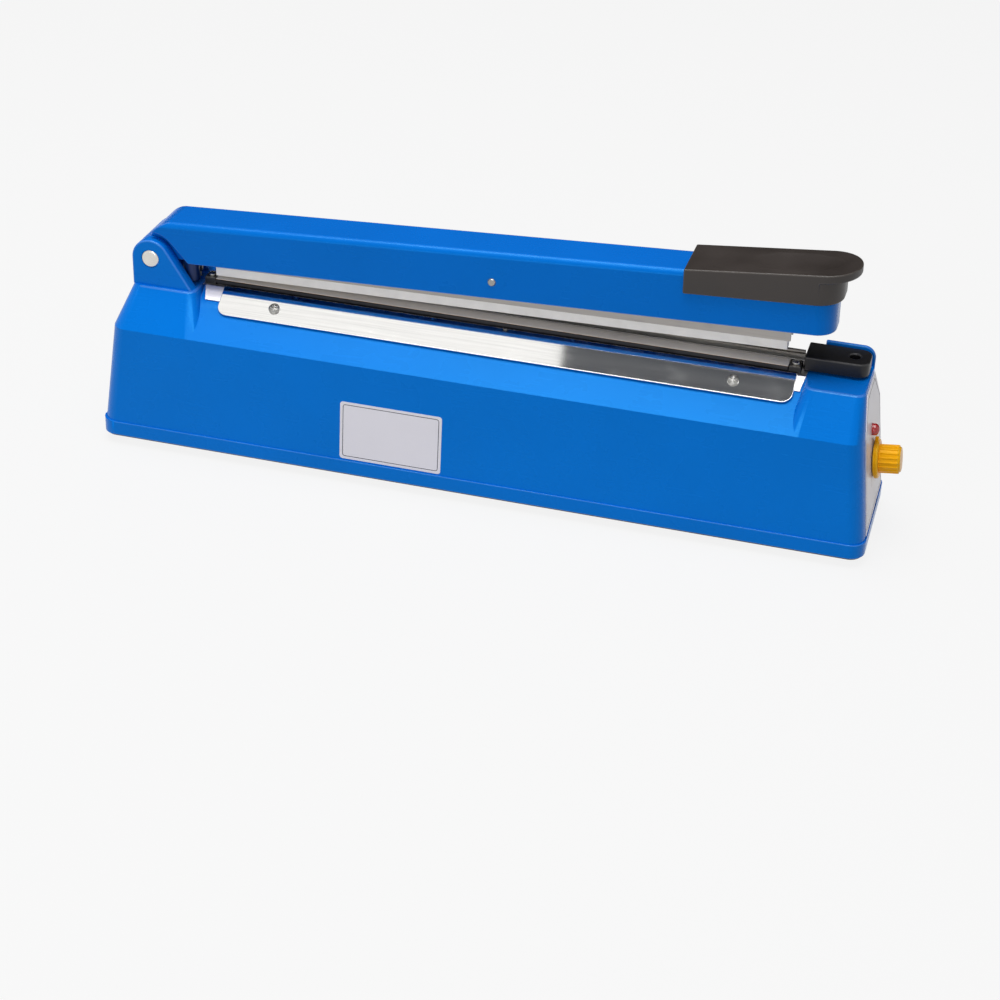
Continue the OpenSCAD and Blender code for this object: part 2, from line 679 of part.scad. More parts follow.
module heating_element() {
    color("silver") place() translate([0, seal_y, tape_top]) linear_extrude(element_t) difference() {
        union() {
            translate([terminal_x[0] + 1, -element_w / 2])
                square([terminal_x[1] - terminal_x[0] + terminal_l - 2, element_w]);
            for (x = terminal_x) translate([x + 0.4, -tab_w / 2]) square([terminal_l - 0.8, tab_w]);
        }
        for (x = terminal_x) translate([x + terminal_l / 2, 0]) circle(screw_r + fit);
    }
}
module cover_cloth() {
    rear = bed_back + 0.02;
    color("rosybrown") place() along_x(bed_x0, bed_x1) polygon([
        [bed_front + 0.3, element_top], [rear, element_top], [rear, bed_z + 0.5],
        [rear + cloth_t, bed_z + 0.5], [rear + cloth_t, cloth_top], [bed_front + 0.3, cloth_top]]);
}
module terminal_blocks() {
    color("black") place() for (x = terminal_x) difference() {
        block3(x, x + terminal_l, bed_front + 0.6, bed_back, bed_z, tape_top);
        translate([x + terminal_l / 2, seal_y, bed_z + 0.6]) screw_hole(bed_h + 2);
    }
}
module terminal_screws() {
    color("silver") place() for (x = terminal_x) 
        translate([x + terminal_l / 2, seal_y, element_top]) pan_screw(2.8, terminal_head_r);
}
cover_top_s = panel_l + 0.9;
module retaining_plate() {
    x0 = cover_mid_x - cover_l / 2;
    x1 = cover_mid_x + cover_l / 2;
    s0 = cover_top_s - cover_w;
    color("whitesmoke") place() on_panel() translate([0, 0, saddle_t]) linear_extrude(cover_t) difference() {
        union() {
            translate([x0, s0 + cover_r]) square([cover_l, cover_w - cover_r]);
            translate([x0 + cover_r, s0]) square([cover_l - 2 * cover_r, cover_w]);
            for (x = [x0 + cover_r, x1 - cover_r]) translate([x, s0 + cover_r]) circle(cover_r);
        }
        for (x = cover_places()) translate([x, cover_screw_s()]) circle(screw_r + fit);
    }
}
module retaining_screws() {
    color("silver") place() on_panel() for (x = cover_places())
        translate([x, cover_screw_s(), saddle_t + cover_t]) pan_screw(screw_l);
}
module cutter_guide() {
    lip_z = bar_z + bar_t + guide_gap;
    inner = guide_back - guide_t;
    color("gray") place() along_x(bed_x0 - 2, cut_grip_x0 - 1.2) polygon([
        [bar_y0 - 0.3, bed_z], [guide_back, bed_z], [guide_back, lip_z + guide_t],
        [inner - guide_gap - guide_lip, lip_z + guide_t], [inner - guide_gap - guide_lip, lip_z],
        [inner, lip_z], [inner, bed_z + guide_t], [bar_y0 - 0.3, bed_z + guide_t]]);
}

// Transformer on the bottom plate
yoke_w = leg_w / 2;
window_w = (core_w - 2 * leg_w) / 2;
coil_out = 9;
module transformer_core() {
    color("darkslategray") place() difference() {
        block3(core_x - core_w / 2, core_x + core_w / 2, -core_t / 2, core_t / 2, 0, core_h);
        for (s = [-1, 1]) translate([core_x + s * (leg_w + window_w) / 2 - window_w / 2, -core_t, yoke_w])
            cube([window_w, 2 * core_t, core_h - leg_w]);
    }
}
module transformer_coil() {
    x = leg_w / 2 + window_w - 0.3;
    y = core_t / 2 + coil_out;
    color("goldenrod") place() translate([core_x, 0, 0]) difference() {
        block3(-x, x, -y, y, yoke_w + 0.3, core_h - yoke_w - 0.3);
        block3(-leg_w / 2 - fit, leg_w / 2 + fit, -core_t / 2 - fit, core_t / 2 + fit, 0, core_h);
    }
}
strap_w = 14;
strap_foot = 12;
module transformer_strap() {
    x = core_w / 2;
    color("silver") place() difference() {
        translate([core_x, 0, 0]) along_y(-strap_w / 2, strap_w / 2) {
            for (s = [-1, 1]) {
                translate([s * (x + strap_t / 2) - strap_t / 2, 0]) square([strap_t, core_h + strap_t]);
                translate([s * (x + strap_foot / 2) - strap_foot / 2, 0]) square([strap_foot, strap_t]);
            }
            translate([-x - strap_t, core_h]) square([2 * x + 2 * strap_t, strap_t]);
        }
        for (x = strap_places()) translate([x, 0, -1]) screw_hole(strap_t + 2);
    }
}
module transformer_screws() {
    color("silver") place() for (x = strap_places()) translate([x, 0, -plate_t])
        rotate([180, 0, 0]) pan_screw(plate_t + strap_t + 2);
}

// Timer, lamp and label on the end wall
pot_depth = 9;
board_t = 1.6;
board_back = -base_wall - pot_depth - board_t;
nut_t = 2.2;
nut_r = 6;
board_low = 19.4;
board_h = 2 * (knob_z - board_low);
board_w = rear_wall_y(shoulder_z) * 1.4;
pot_r = 8;
capacitor_r = 5;
capacitor_h = 14;
label_lift = 0.02;
label_out = (label_lift + label_t) * cos(end_draft) + 0.01;
module timer_board() {
    color("seagreen") place() on_end_wall(knob_y, knob_z)
        translate([-board_h / 2, -board_w / 2, board_back]) cube([board_h, board_w, board_t]);
}
module timer_capacitor() {
    color("navy") place() on_end_wall(knob_y, knob_z)
        translate([board_h / 4, -board_w / 3, board_back - capacitor_h])
        cylinder(r = capacitor_r, h = capacitor_h);
}
module potentiometer() {
    top = label_out + nut_t + 0.4;
    color("darkgray") place() on_end_wall(knob_y, knob_z) difference() {
        union() {
            translate([0, 0, -base_wall - pot_depth]) cylinder(r = pot_r, h = pot_depth);
            cylinder_between(bushing_r, -base_wall - eps, top);
        }
        cylinder_between(shaft_r + pin_clear, -base_wall - 6.4, top + 1);
    }
}
module cylinder_between(r, z0, z1) { translate([0, 0, z0]) cylinder(r = r, h = z1 - z0); }
module pot_nut() {
    color("silver") place() on_end_wall(knob_y, knob_z) translate([0, 0, label_out]) difference() {
        cylinder(r = nut_r, h = nut_t, $fn = 6);
        translate([0, 0, -1]) cylinder(r = bushing_r + 0.05, h = nut_t + 2);
    }
}
module lamp_lens() {
    color("red") place() on_end_wall(lamp_y, lamp_z) rotate_extrude() polygon([
        [0, -base_wall], [lamp_r, -base_wall], [lamp_r, label_out + 0.8], [lamp_r * 0.8, label_out + 1.6],
        [lamp_r * 0.45, label_out + 2], [0, label_out + 2.1]]);
}
module lamp_holder() {
    color("white") place() on_end_wall(lamp_y, lamp_z)
        cylinder_between(lamp_r + 0.6, -base_wall - 8, -base_wall);
}
// End plate: a thin sheet bent at the shoulder, which covers the end wall and the end of the right block
block_lean = (end_in_top - end_in_shoulder) / (block_z - shoulder_z);
module end_label() {
    top = block_z - label_down;
    line = [[end_wall_x(label_z), label_z], [shoulder_x, shoulder_z],
        [shoulder_x - (top - shoulder_z) * block_lean, top]];
    low_y = rear_wall_y(label_z) - corner_r - label_in;
    bend_y = shoulder_y - corner_r - label_in;
    high_y = top_y - top_corner_r - label_in;
    color("white") place() difference() {
        intersection() {
            along_y(-rim_y, rim_y) polygon([for (p = line) p + [label_lift, 0], for (i = [2 : -1 : 0])
                line[i] + [label_lift + label_t, 0]]);
            along_x(0, rim_x) polygon([[-low_y, label_z - 1], [low_y, label_z - 1], [bend_y, shoulder_z],
                [high_y, block_z], [-high_y, block_z], [-bend_y, shoulder_z]]);
        }
        on_end_wall(knob_y, knob_z) cylinder_between(bushing_r + fit, -1, 2);
        on_end_wall(lamp_y, lamp_z) cylinder_between(lamp_r + fit, -1, 2);
    }
}

// Micro switch under the left block
button_depth = 2.6;
button_travel = 1;
module switch_body() {
    color("dimgray") place() difference() {
        translate([switch_x, switch_y, switch_top - switch_h / 2])
            cube([switch_l, switch_w, switch_h], center = true);
        translate([switch_x, switch_y, switch_top - button_depth - button_travel - 0.4])
            cylinder(r = button_r + button_clear, h = button_depth + 3);
        for (x = switch_screw_places()) translate([x, switch_y, switch_top - switch_h / 2])
            rotate([90, 0, 0]) cylinder(r = 1.2 + fit, h = switch_w + 2, center = true);
    }
}
module switch_screws() {
    color("silver") place() for (x = switch_screw_places())
        translate([x, switch_y - switch_w / 2, switch_top - switch_h / 2]) rotate([-90, 0, 0]) {
            translate([0, 0, -1.4]) cylinder(r = 2.1, h = 1.4);
            cylinder(r = 1.2, h = switch_w + 2.4);
        }
}
module switch_button() {
    z0 = switch_top - button_depth;
    color("ivory") place() translate([switch_x, switch_y, 0]) rotate_extrude() polygon([
        [0, z0], [button_r, z0], [button_r, button_top - 0.6], [button_r - 0.6, button_top],
        [0, button_top]]);
}

// Arm, drawn closed with the pin as its origin
lug_r = ear_r;
heel_u = arm_heel_r - 4.2;
clear_of = 3.2 * arm_rise;
skim = 0.03;
side_screw_r = 1.6;
grip_screw_y = 5;
function grip_screw_places() = [grip_start + grip_l * 0.51, grip_start + grip_l * 0.78];
heel_w = top_w(heel_u) - arm_heel_r + 0.25;
module arm_tube(g) {
    far = arm_reach + g;
    intersection() {
        rotate([0, -arm_top_tilt, 0]) along_x(-clear_of, far + clear_of) round_rect(-arm_y - g - skim,
            arm_y + g + skim, -clear_of, arm_rise * cos(arm_top_tilt) + g, arm_edge_r + g);
        translate([0, 0, -clear_of]) linear_extrude(2 * clear_of)
            round_rect(-clear_of, far, -arm_y - g, arm_y + g, arm_end_r + g);
    }
}
module arm_side() {
    left = heel_u - arm_heel_r + skim;
    high = top_w(arm_reach) + 9;
    far = arm_reach + 20;
    polygon([[left, -lug_r * 0.6], [left, high], [far, high], [far, under_w(far)],
        [lug_r + 2, under_w(lug_r + 2)], [0, -lug_r * 0.8]]);
}
module heel_corner() {
    difference() {
        translate([heel_u - clear_of, heel_w]) square(clear_of);
        translate([heel_u, heel_w]) circle(arm_heel_r);
    }
}
module ear_relief() {
    d = norm([ear_foot, pin_rise]);
    a = -atan(pin_rise / ear_foot) + acos(ear_r / d) + relief_turn;
    side = relief_r * [cos(a), sin(a)];
    low = side + clear_of * [sin(a), -cos(a)];
    circle(relief_r);
    polygon([[0, 0], side, low, [-clear_of, low[1]], [-clear_of, 0]]);
}
module arm_cavity() {
    intersection() {
        arm_tube(-arm_wall);
        block3(lug_l, arm_reach, -arm_y, arm_y, -clear_of, clear_of);
    }
}
module arm_ribs() {
    for (u = channel_places()) {
        translate([u, seal_y, channel_w1]) cylinder(r = 3.6, h = clear_of);
        block3(u - 0.8, u + 0.8, -arm_y, arm_y, channel_w1 + 4, clear_of);
    }
}
module arm_shell() {
    color("royalblue") arm_place() difference() {
        union() {
            intersection() {
                arm_tube(0);
                difference() {
                    along_y(-arm_y - 1, arm_y + 1) arm_side();
                    along_y(-arm_y - 2, arm_y + 2) heel_corner();
                }
            }
            along_y(-lug_y, lug_y) circle(lug_r);
        }
        difference() {
            arm_cavity();
            arm_ribs();
        }
        along_y(-arm_y - 1, -lug_y) ear_relief();
        along_y(lug_y, arm_y + 1) ear_relief();
        rotate([90, 0, 0]) cylinder(r = pin_r + pin_clear, h = 2 * arm_w, center = true);
        for (u = channel_places()) translate([u, seal_y, channel_w1 - 1]) screw_hole(screw_l + 1.4);
        translate([side_screw_u, -arm_y - 1, side_screw_w]) rotate([-90, 0, 0])
            cylinder(r = side_screw_r + fit, h = 5);
        for (u = grip_screw_places()) translate([u, grip_screw_y, top_w(u) - 6]) screw_hole(10);
    }
}

// Grip cap over the free end of the arm
function grip_top_w(u) = top_w(u) + grip_rise + (u - grip_start) * tan(grip_tilt);
function grip_top_tilt(u) = atan(grip_top_w(u + 1) - grip_top_w(u));
grip_end = arm_reach + fit + grip_wall;
grip_y = arm_y + fit + grip_wall;
module round_end(x0, x1, y, r) {
    translate([x0, -y]) square([x1 - r - x0, 2 * y]);
    if (y > r) translate([x0, -y + r]) square([x1 - x0, 2 * (y - r)]);
    for (s = y > r ? [-1, 1] : [0]) translate([x1 - r, s * (y - r)]) circle(r);
}
module grip_band(drop0, drop1) {
    u1 = grip_end + grip_tip + 1;
    along_y(-grip_y - 1, grip_y + 1) polygon([
        [grip_start, drop0(grip_start)], [grip_start, drop1(grip_start)], [u1, drop1(u1)], [u1, drop0(u1)]]);
}
module grip_dish() {
    u = grip_end - dish_l / 2;
    tilt = grip_top_tilt(u);
    cross_r = (dish_w * dish_w / 4 + dish_depth * dish_depth) / (2 * dish_depth);
    long_r = (dish_l * dish_l / 4 + dish_depth * dish_depth) / (2 * dish_depth);
    translate([u, 0, grip_top_w(u)]) rotate([0, -tilt, 0]) translate([0, 0, long_r - dish_depth])
        rotate([90, 0, 0]) rotate_extrude($fn = dish_fn) translate([long_r - cross_r, 0])
        circle(cross_r, $fn = dish_fn);
}
module arm_grip() {
    skirt = function (u) top_w(u) - grip_skirt;
    lip = function (u) grip_top_w(u) - grip_lip;
    top = function (u) grip_top_w(u);
    color("#3c3834") arm_place() difference() {
        union() {
            intersection() {
                linear_extrude(clear_of) round_end(grip_start, grip_end, grip_y, arm_end_r + fit + grip_wall);
                grip_band(skirt, top);
            }
            intersection() {
                linear_extrude(clear_of) round_end(grip_start, grip_end + grip_tip, grip_y, grip_y);
                grip_band(lip, top);
            }
        }
        arm_tube(fit);
        grip_dish();
        for (u = grip_screw_places()) translate([u, grip_screw_y, top_w(u) - 3]) screw_hole(5.4);
    }
}
module grip_screws() {
    color("silver") arm_place() for (u = grip_screw_places())
        translate([u, grip_screw_y, top_w(u) - arm_wall / cos(arm_top_tilt) - 0.15])
        rotate([180, 0, 0]) pan_screw(arm_wall + 2.1);
}
channel_u0 = strip_x0 - pin_x;
web_t = 1.2;
module pressure_channel() {
    groove_top = channel_w0 + strip_root + fit;
    half = channel_w / 2;
    color("silver") arm_place() difference() {
        along_x(channel_u0, channel_u0 + strip_l + 1.5) difference() {
            translate([seal_y - half, channel_w0]) square([channel_w, channel_h]);
            translate([seal_y - strip_w / 2 - fit, channel_w0 - 1])
                square([strip_w + 2 * fit, strip_root + fit + 1]);
            translate([seal_y - half + web_t, groove_top + web_t])
                square([channel_w - 2 * web_t, channel_w1 - groove_top - 2 * web_t]);
        }
        for (u = channel_places()) translate([u, seal_y, channel_w1 - web_t - 0.5]) screw_hole(3);
    }
}
module silicone_strip() {
    color("snow") arm_place() block3(channel_u0, channel_u0 + strip_l,
        seal_y - strip_w / 2, seal_y + strip_w / 2, strip_w0, channel_w0 + strip_root);
}
module channel_screws() {
    color("silver") arm_place() for (u = channel_places()) translate([u, seal_y, channel_w1 - web_t])
        rotate([180, 0, 0]) pan_screw(web_t + screw_l);
}
module side_screw() {
    color("silver") arm_place() translate([side_screw_u, -arm_y, side_screw_w]) rotate([90, 0, 0]) {
        cylinder(r1 = side_screw_r + 0.5, r2 = side_screw_r, h = 0.7);
        translate([0, 0, -3.4]) cylinder(r = side_screw_r, h = 3.5);
    }
}
module spring_cup() {
    color("midnightblue") arm_place() translate([switch_reach, spring_y, 0]) difference() {
        cylinder_between(cup_r, cup_floor - pin_z, cup_top_w);
        cylinder_between(cup_r - cup_wall, cup_floor - pin_z - 1, cup_top_w - cup_roof);
    }
}
module switch_striker() {
    top = under_w(switch_reach - striker_r) - 0.02;
    color("silver") arm_place() translate([switch_reach, switch_y, 0])
        cylinder_between(striker_r, button_top + striker_gap - pin_z, top);
}

// Cutter: flat bar with a grip at the right and a blade in a carrier at the left
carrier_y0 = bar_y0 + 0.3;
carrier_y1 = bar_y0 + bar_w - guide_lip - 0.6;
carrier_z = bar_z + bar_t;
blade_t = 0.6;
blade_y = carrier_y0 + 0.9;
module cutter_bar() {
    color("silver") place() difference() {
        block3(bar_x0, cut_grip_x0 + bar_in_grip, bar_y0, bar_y0 + bar_w, bar_z, bar_z + bar_t);
        translate(carrier_screw_at(bar_z - 1)) screw_hole(bar_t + 2);
    }
}
function carrier_screw_at(z) = [bar_x0 + carrier_l / 2, (carrier_y0 + carrier_y1) / 2 + 0.6, z];
module cutter_grip() {
    color("#1c1b1c") place() difference() {
        translate([0, bar_y, cut_grip_z]) linear_extrude(cut_grip_h)
            round_end(cut_grip_x0, cut_grip_x0 + cut_grip_l, cut_grip_w / 2, cut_grip_r);
        block3(cut_grip_x0 - 1, cut_grip_x0 + bar_in_grip + fit, bar_y0 - fit, bar_y0 + bar_w + fit,
            bar_z - fit, bar_z + bar_t + fit);
        translate([cut_grip_x0 + cut_grip_l - 8, bar_y, cut_grip_z - 1])
            cylinder(d = hang_d, h = cut_grip_h + 2);
    }
}
module blade_carrier() {
    color("#1c1b1c") place() difference() {
        block3(bar_x0, bar_x0 + carrier_l, carrier_y0, carrier_y1, carrier_z, carrier_z + carrier_h);
        block3(bar_x0 + 2, bar_x0 + carrier_l + 1, blade_y - blade_t / 2 - 0.05, blade_y + blade_t / 2 + 0.05,
            carrier_z + 0.4, carrier_z + carrier_h + 1);
        translate(carrier_screw_at(carrier_z - 1)) screw_hole(carrier_h + 2);
    }
}
module cutter_blade() {
    reach = 5;
    color("gainsboro") place() along_y(blade_y - blade_t / 2, blade_y + blade_t / 2) polygon([
        [bar_x0 + 2.1, carrier_z + 0.5], [bar_x0 + carrier_l + reach, carrier_z + 0.5],
        [bar_x0 + carrier_l, carrier_z + carrier_h], [bar_x0 + 2.1, carrier_z + carrier_h]]);
}
module carrier_screw() {
    color("silver") place() translate(carrier_screw_at(carrier_z + carrier_h))
        pan_screw(carrier_h + bar_t - 0.2);
}

// Timer knob and its shaft
pocket_r = nut_r + 0.5;
shaft_top = knob_reach - 2.5;
module pot_shaft() {
    color("silver") place() on_end_wall(knob_y, knob_z) cylinder_between(shaft_r, -base_wall - 6, shaft_top);
}
module timer_knob() {
    z0 = label_out + knob_gap;
    z1 = z0 + knob_flange_t;
    pocket_top = label_out + nut_t + 0.8;
    rib_r = 0.6;
    nose = 1.5;
    color("#d6960a") place() on_end_wall(knob_y, knob_z) {
        rotate_extrude() polygon([
            [pocket_r, z0], [knob_flange_r - 0.4, z0], [knob_flange_r, z0 + 0.4], [knob_flange_r, z1 - 0.6],
            [knob_flange_r - 0.6, z1], [knob_r, z1], [knob_r - 0.3, knob_reach - knob_top_r],
            [knob_r - knob_top_r, knob_reach], [0, knob_reach], [0, shaft_top],
            [shaft_r + 0.02, shaft_top], [shaft_r + 0.02, pocket_top], [pocket_r, pocket_top]]);
        for (i = [0 : knob_ribs - 1]) rotate(i * 360 / knob_ribs) translate([knob_r - 0.35, 0, z1 - eps])
            cylinder(r = rib_r, h = knob_reach - z1 - knob_top_r);
        translate([0, 0, z0 + 0.4]) linear_extrude(knob_flange_t - 1) polygon([
            [-knob_flange_r + 0.5, -nose], [-knob_flange_r - nose, 0], [-knob_flange_r + 0.5, nose]]);
    }
}

base_shell();
bottom_plate();
rubber_feet();
bottom_screws();
cable_grommet();
hinge_pin();
hinge_clip();
return_spring();
saddle_plate();
seal_bed();
bed_screws();
insulating_tape();
heating_element();
cover_cloth();
terminal_blocks();
terminal_screws();
retaining_plate();
retaining_screws();
cutter_guide();
transformer_core();
transformer_coil();
transformer_strap();
transformer_screws();
timer_board();
timer_capacitor();
potentiometer();
pot_nut();
lamp_lens();
lamp_holder();
end_label();
switch_body();
switch_screws();
arm_shell();
arm_grip();
grip_screws();
pressure_channel();
silicone_strip();
channel_screws();
side_screw();
spring_cup();
switch_striker();
cutter_bar();
cutter_grip();
blade_carrier();
cutter_blade();
carrier_screw();
timer_knob();
pot_shaft();
switch_button();
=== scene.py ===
"""Looks of the impulse sealer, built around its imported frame. Metres, +Z up, front towards -Y."""
import json
import math

import bmesh
import bpy
from mathutils import Matrix, Vector


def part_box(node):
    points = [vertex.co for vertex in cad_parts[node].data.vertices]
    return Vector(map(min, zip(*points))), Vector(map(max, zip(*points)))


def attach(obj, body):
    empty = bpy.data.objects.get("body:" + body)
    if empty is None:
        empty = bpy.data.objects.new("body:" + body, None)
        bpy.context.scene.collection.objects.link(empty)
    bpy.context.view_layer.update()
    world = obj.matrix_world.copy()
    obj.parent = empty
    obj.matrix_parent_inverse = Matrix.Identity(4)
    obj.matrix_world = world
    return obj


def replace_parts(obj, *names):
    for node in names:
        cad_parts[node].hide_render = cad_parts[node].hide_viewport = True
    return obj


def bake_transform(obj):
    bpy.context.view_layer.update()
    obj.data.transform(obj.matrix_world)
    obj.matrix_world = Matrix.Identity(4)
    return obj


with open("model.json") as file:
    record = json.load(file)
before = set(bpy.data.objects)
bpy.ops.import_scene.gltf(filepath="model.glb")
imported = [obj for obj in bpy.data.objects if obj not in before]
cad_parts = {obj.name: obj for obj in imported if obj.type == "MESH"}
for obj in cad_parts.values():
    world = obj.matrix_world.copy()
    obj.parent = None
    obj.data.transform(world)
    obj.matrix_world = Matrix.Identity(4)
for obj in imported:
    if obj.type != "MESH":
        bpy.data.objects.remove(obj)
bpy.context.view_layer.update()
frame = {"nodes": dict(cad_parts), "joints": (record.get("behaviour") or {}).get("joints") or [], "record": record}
NODES = frame["nodes"]
BODIES = frame["record"]["behaviour"]["bodies"]
BODY_OF = {node: body for body, members in BODIES.items() for node in members}
SLOT_OF = {row["node"]: row["material_slot"] for row in frame["record"]["subparts"]}
JOINTS = {joint["name"]: joint for joint in frame["joints"]}
MM = 0.001
PIN = Vector(JOINTS["arm_hinge"]["pos_m"])
KNOB = Vector(JOINTS["timer_turn"]["pos_m"])
KNOB_AXIS = Vector(JOINTS["timer_turn"]["axis"])


# Colours and procedural materials

def srgb(r, g, b):
    """Linear colour with alpha, from values of 0 to 255."""
    shares = [v / 255 for v in (r, g, b)]
    return (*[v / 12.92 if v <= 0.04045 else ((v + 0.055) / 1.055) ** 2.4 for v in shares], 1.0)


def scaled(colour, factor):
    """The colour made darker or lighter by a factor."""
    return (*[min(1.0, c * factor) for c in colour[:3]], 1.0)


def between(a, b, share):
    """The colour that lies a share of the way from a to b."""
    return (*[x + (y - x) * share for x, y in zip(a[:3], b[:3])], 1.0)


class Surface:
    """One procedural material: its shader and the texture nodes that feed it."""

    def __init__(self, name, **values):
        """A new material; the values go on the shader's own inputs."""
        self.material = bpy.data.materials.new(name)
        self.material.use_nodes = True
        self.tree = self.material.node_tree
        self.shader = self.tree.nodes["Principled BSDF"]
        for key, value in values.items():
            self.shader.inputs[key.replace("_", " ")].default_value = value

    def node(self, kind, inputs, **settings):
        """A new node whose inputs are sockets to link or values to set."""
        made = self.tree.nodes.new(kind)
        for key, value in settings.items():
            setattr(made, key, value)
        for key, value in inputs.items():
            if isinstance(value, bpy.types.NodeSocket):
                self.tree.links.new(value, made.inputs[key])
            else:
                made.inputs[key].default_value = value
        return made

    def feed(self, name, socket):
        """Links a socket to one of the shader's own inputs."""
        self.tree.links.new(socket, self.shader.inputs[name])

    def spot(self, stretch=(1, 1, 1), shift=(0, 0, 0)):
        """Places in metres in the object's own frame, shifted and stretched."""
        coordinates = self.node("ShaderNodeTexCoord", {}).outputs["Object"]
        moved = self.node("ShaderNodeVectorMath", {0: coordinates, 1: shift}, operation="SUBTRACT").outputs[0]
        return self.node("ShaderNodeMapping", {"Vector": moved, "Scale": stretch}).outputs["Vector"]

    def noise(self, size, detail=2.0, stretch=(1, 1, 1)):
        """Cloudy noise whose blobs are about size metres across; a stretch below 1 draws them out."""
        inputs = {"Vector": self.spot(stretch), "Scale": 1 / size, "Detail": detail}
        return self.node("ShaderNodeTexNoise", inputs).outputs["Fac"]

    def cells(self, size):
        """Rounded cells about size metres across."""
        inputs = {"Vector": self.spot(), "Scale": 1 / size}
        return self.node("ShaderNodeTexVoronoi", inputs, feature="SMOOTH_F1").outputs["Distance"]

    def wave(self, pitch, axis, shift=(0, 0, 0), rings=False):
        """Straight waves along an axis, or rings round it, that repeat every pitch metres."""
        inputs = {"Vector": self.spot(shift=shift), "Scale": math.pi / 10 / pitch}
        settings = {"wave_type": "RINGS" if rings else "BANDS"}
        settings["rings_direction" if rings else "bands_direction"] = axis
        return self.node("ShaderNodeTexWave", inputs, **settings).outputs["Fac"]

    def span(self, value, low, high, start=0.25, end=0.75):
        """The value moved from the range start to end into the range low to high."""
        inputs = {"Value": value, "From Min": start, "From Max": end, "To Min": low, "To Max": high}
        return self.node("ShaderNodeMapRange", inputs).outputs["Result"]

    def combined(self, a, b, operation="ADD"):
        """One sum, or another operation, on two sockets or values."""
        return self.node("ShaderNodeMath", {0: a, 1: b}, operation=operation).outputs[0]

    def mixed(self, share, a, b):
        """Colour a where share is 0 and b where it is 1."""
        made = self.node("ShaderNodeMix", {"Factor": share}, data_type="RGBA")
        colours = [s for s in made.inputs if s.type == "RGBA"]
        for socket, value in zip(colours, (a, b)):
            if isinstance(value, bpy.types.NodeSocket):
                self.tree.links.new(value, socket)
            else:
                socket.default_value = value
        return next(s for s in made.outputs if s.type == "RGBA")

    def relief(self, height, depth):
        """Bump of that depth in metres."""
        inputs = {"Height": height, "Distance": depth, "Strength": 1.0}
        self.feed("Normal", self.node("ShaderNodeBump", inputs).outputs["Normal"])


def plastic(name, colour, roughness, drift=0.05, grain=0.0011, depth=0.000004, **values):
    """Moulded plastic: slow colour drift, cloudy gloss, fine handling scuffs and a skin grain."""
    s = Surface(name, **values)
    cloud = s.noise(0.06, 3)
    s.feed("Base Color", s.mixed(s.span(cloud, 0, 1), scaled(colour, 1 - drift), scaled(colour, 1 + drift)))
    scuffs = s.span(s.noise(0.0012, 4, (0.06, 1, 0.5)), 0, roughness * 0.12, 0.55, 0.75)
    gloss = s.span(s.noise(0.02, 4), roughness * 0.85, roughness * 1.1)
    s.feed("Roughness", s.combined(gloss, scuffs))
    s.relief(s.noise(grain, 2), depth)
    return s.material


def grained(name, colour, roughness, cell, depth, **values):
    """Plastic with an eroded mould texture, polished a little where it is touched."""
    s = Surface(name, **values)
    touched = s.noise(0.025, 3)
    s.feed("Base Color", s.mixed(s.span(touched, 0, 1), scaled(colour, 0.85), scaled(colour, 1.15)))
    s.feed("Roughness", s.span(touched, roughness * 0.8, roughness * 1.15))
    s.relief(s.combined(s.cells(cell), s.noise(cell * 0.6, 3), "MULTIPLY"), depth)
    return s.material


def metal(name, colour, roughness, stretch=(1, 1, 1), line=0.0004, depth=0.000003):
    """Metal with drawn or rolled lines and a few dull marks."""
    s = Surface(name, Metallic=1.0)
    lines = s.noise(line, 3, stretch)
    marks = s.span(s.noise(0.012, 5), 0, roughness * 0.5, 0.55, 0.7)
    s.feed("Base Color", s.mixed(s.span(lines, 0, 1), scaled(colour, 0.9), scaled(colour, 1.05)))
    gloss = s.span(s.noise(line * 3, 3, stretch), roughness * 0.8, roughness * 1.25)
    s.feed("Roughness", s.combined(gloss, marks))
    s.relief(lines, depth)
    return s.material


def turned(name, colour, roughness, centre):
    """Metal faced on a lathe: fine rings round the hinge line, cloudy gloss."""
    s = Surface(name, Metallic=1.0)
    rings = s.wave(0.00045, "Y", centre, rings=True)
    cloud = s.noise(0.004, 4)
    s.feed("Base Color", s.mixed(s.span(cloud, 0, 1), scaled(colour, 0.92), scaled(colour, 1.04)))
    s.feed("Roughness", s.span(cloud, roughness * 0.8, roughness * 1.2))
    s.relief(rings, 0.000006)
    return s.material


def woven(name, colour, pitch, roughness, depth):
    """Coated cloth: crossing threads of one pitch, with stains along the seal line."""
    s = Surface(name)
    threads = s.combined(s.wave(pitch, "X"), s.wave(pitch, "Y"), "MULTIPLY")
    stain = s.noise(0.02, 3, (0.25, 1, 1))
    light = s.mixed(s.span(stain, 0, 1), scaled(colour, 0.84), scaled(colour, 1.1))
    s.feed("Base Color", s.mixed(s.span(threads, 0.0, 0.3, 0.0, 1.0), light, scaled(colour, 0.65)))
    s.feed("Roughness", s.span(stain, roughness * 0.85, roughness * 1.15))
    s.relief(threads, depth)
    return s.material


def rubber(name, colour, roughness):
    """Soft rubber or silicone with a dusty, uneven skin."""
    s = Surface(name)
    dust = s.noise(0.008, 5)
    s.feed("Base Color", s.mixed(s.span(dust, 0, 1), scaled(colour, 0.92), scaled(colour, 1.06)))
    s.feed("Roughness", s.span(dust, roughness * 0.9, roughness * 1.1))
    s.relief(s.noise(0.0006, 3), 0.000012)
    return s.material


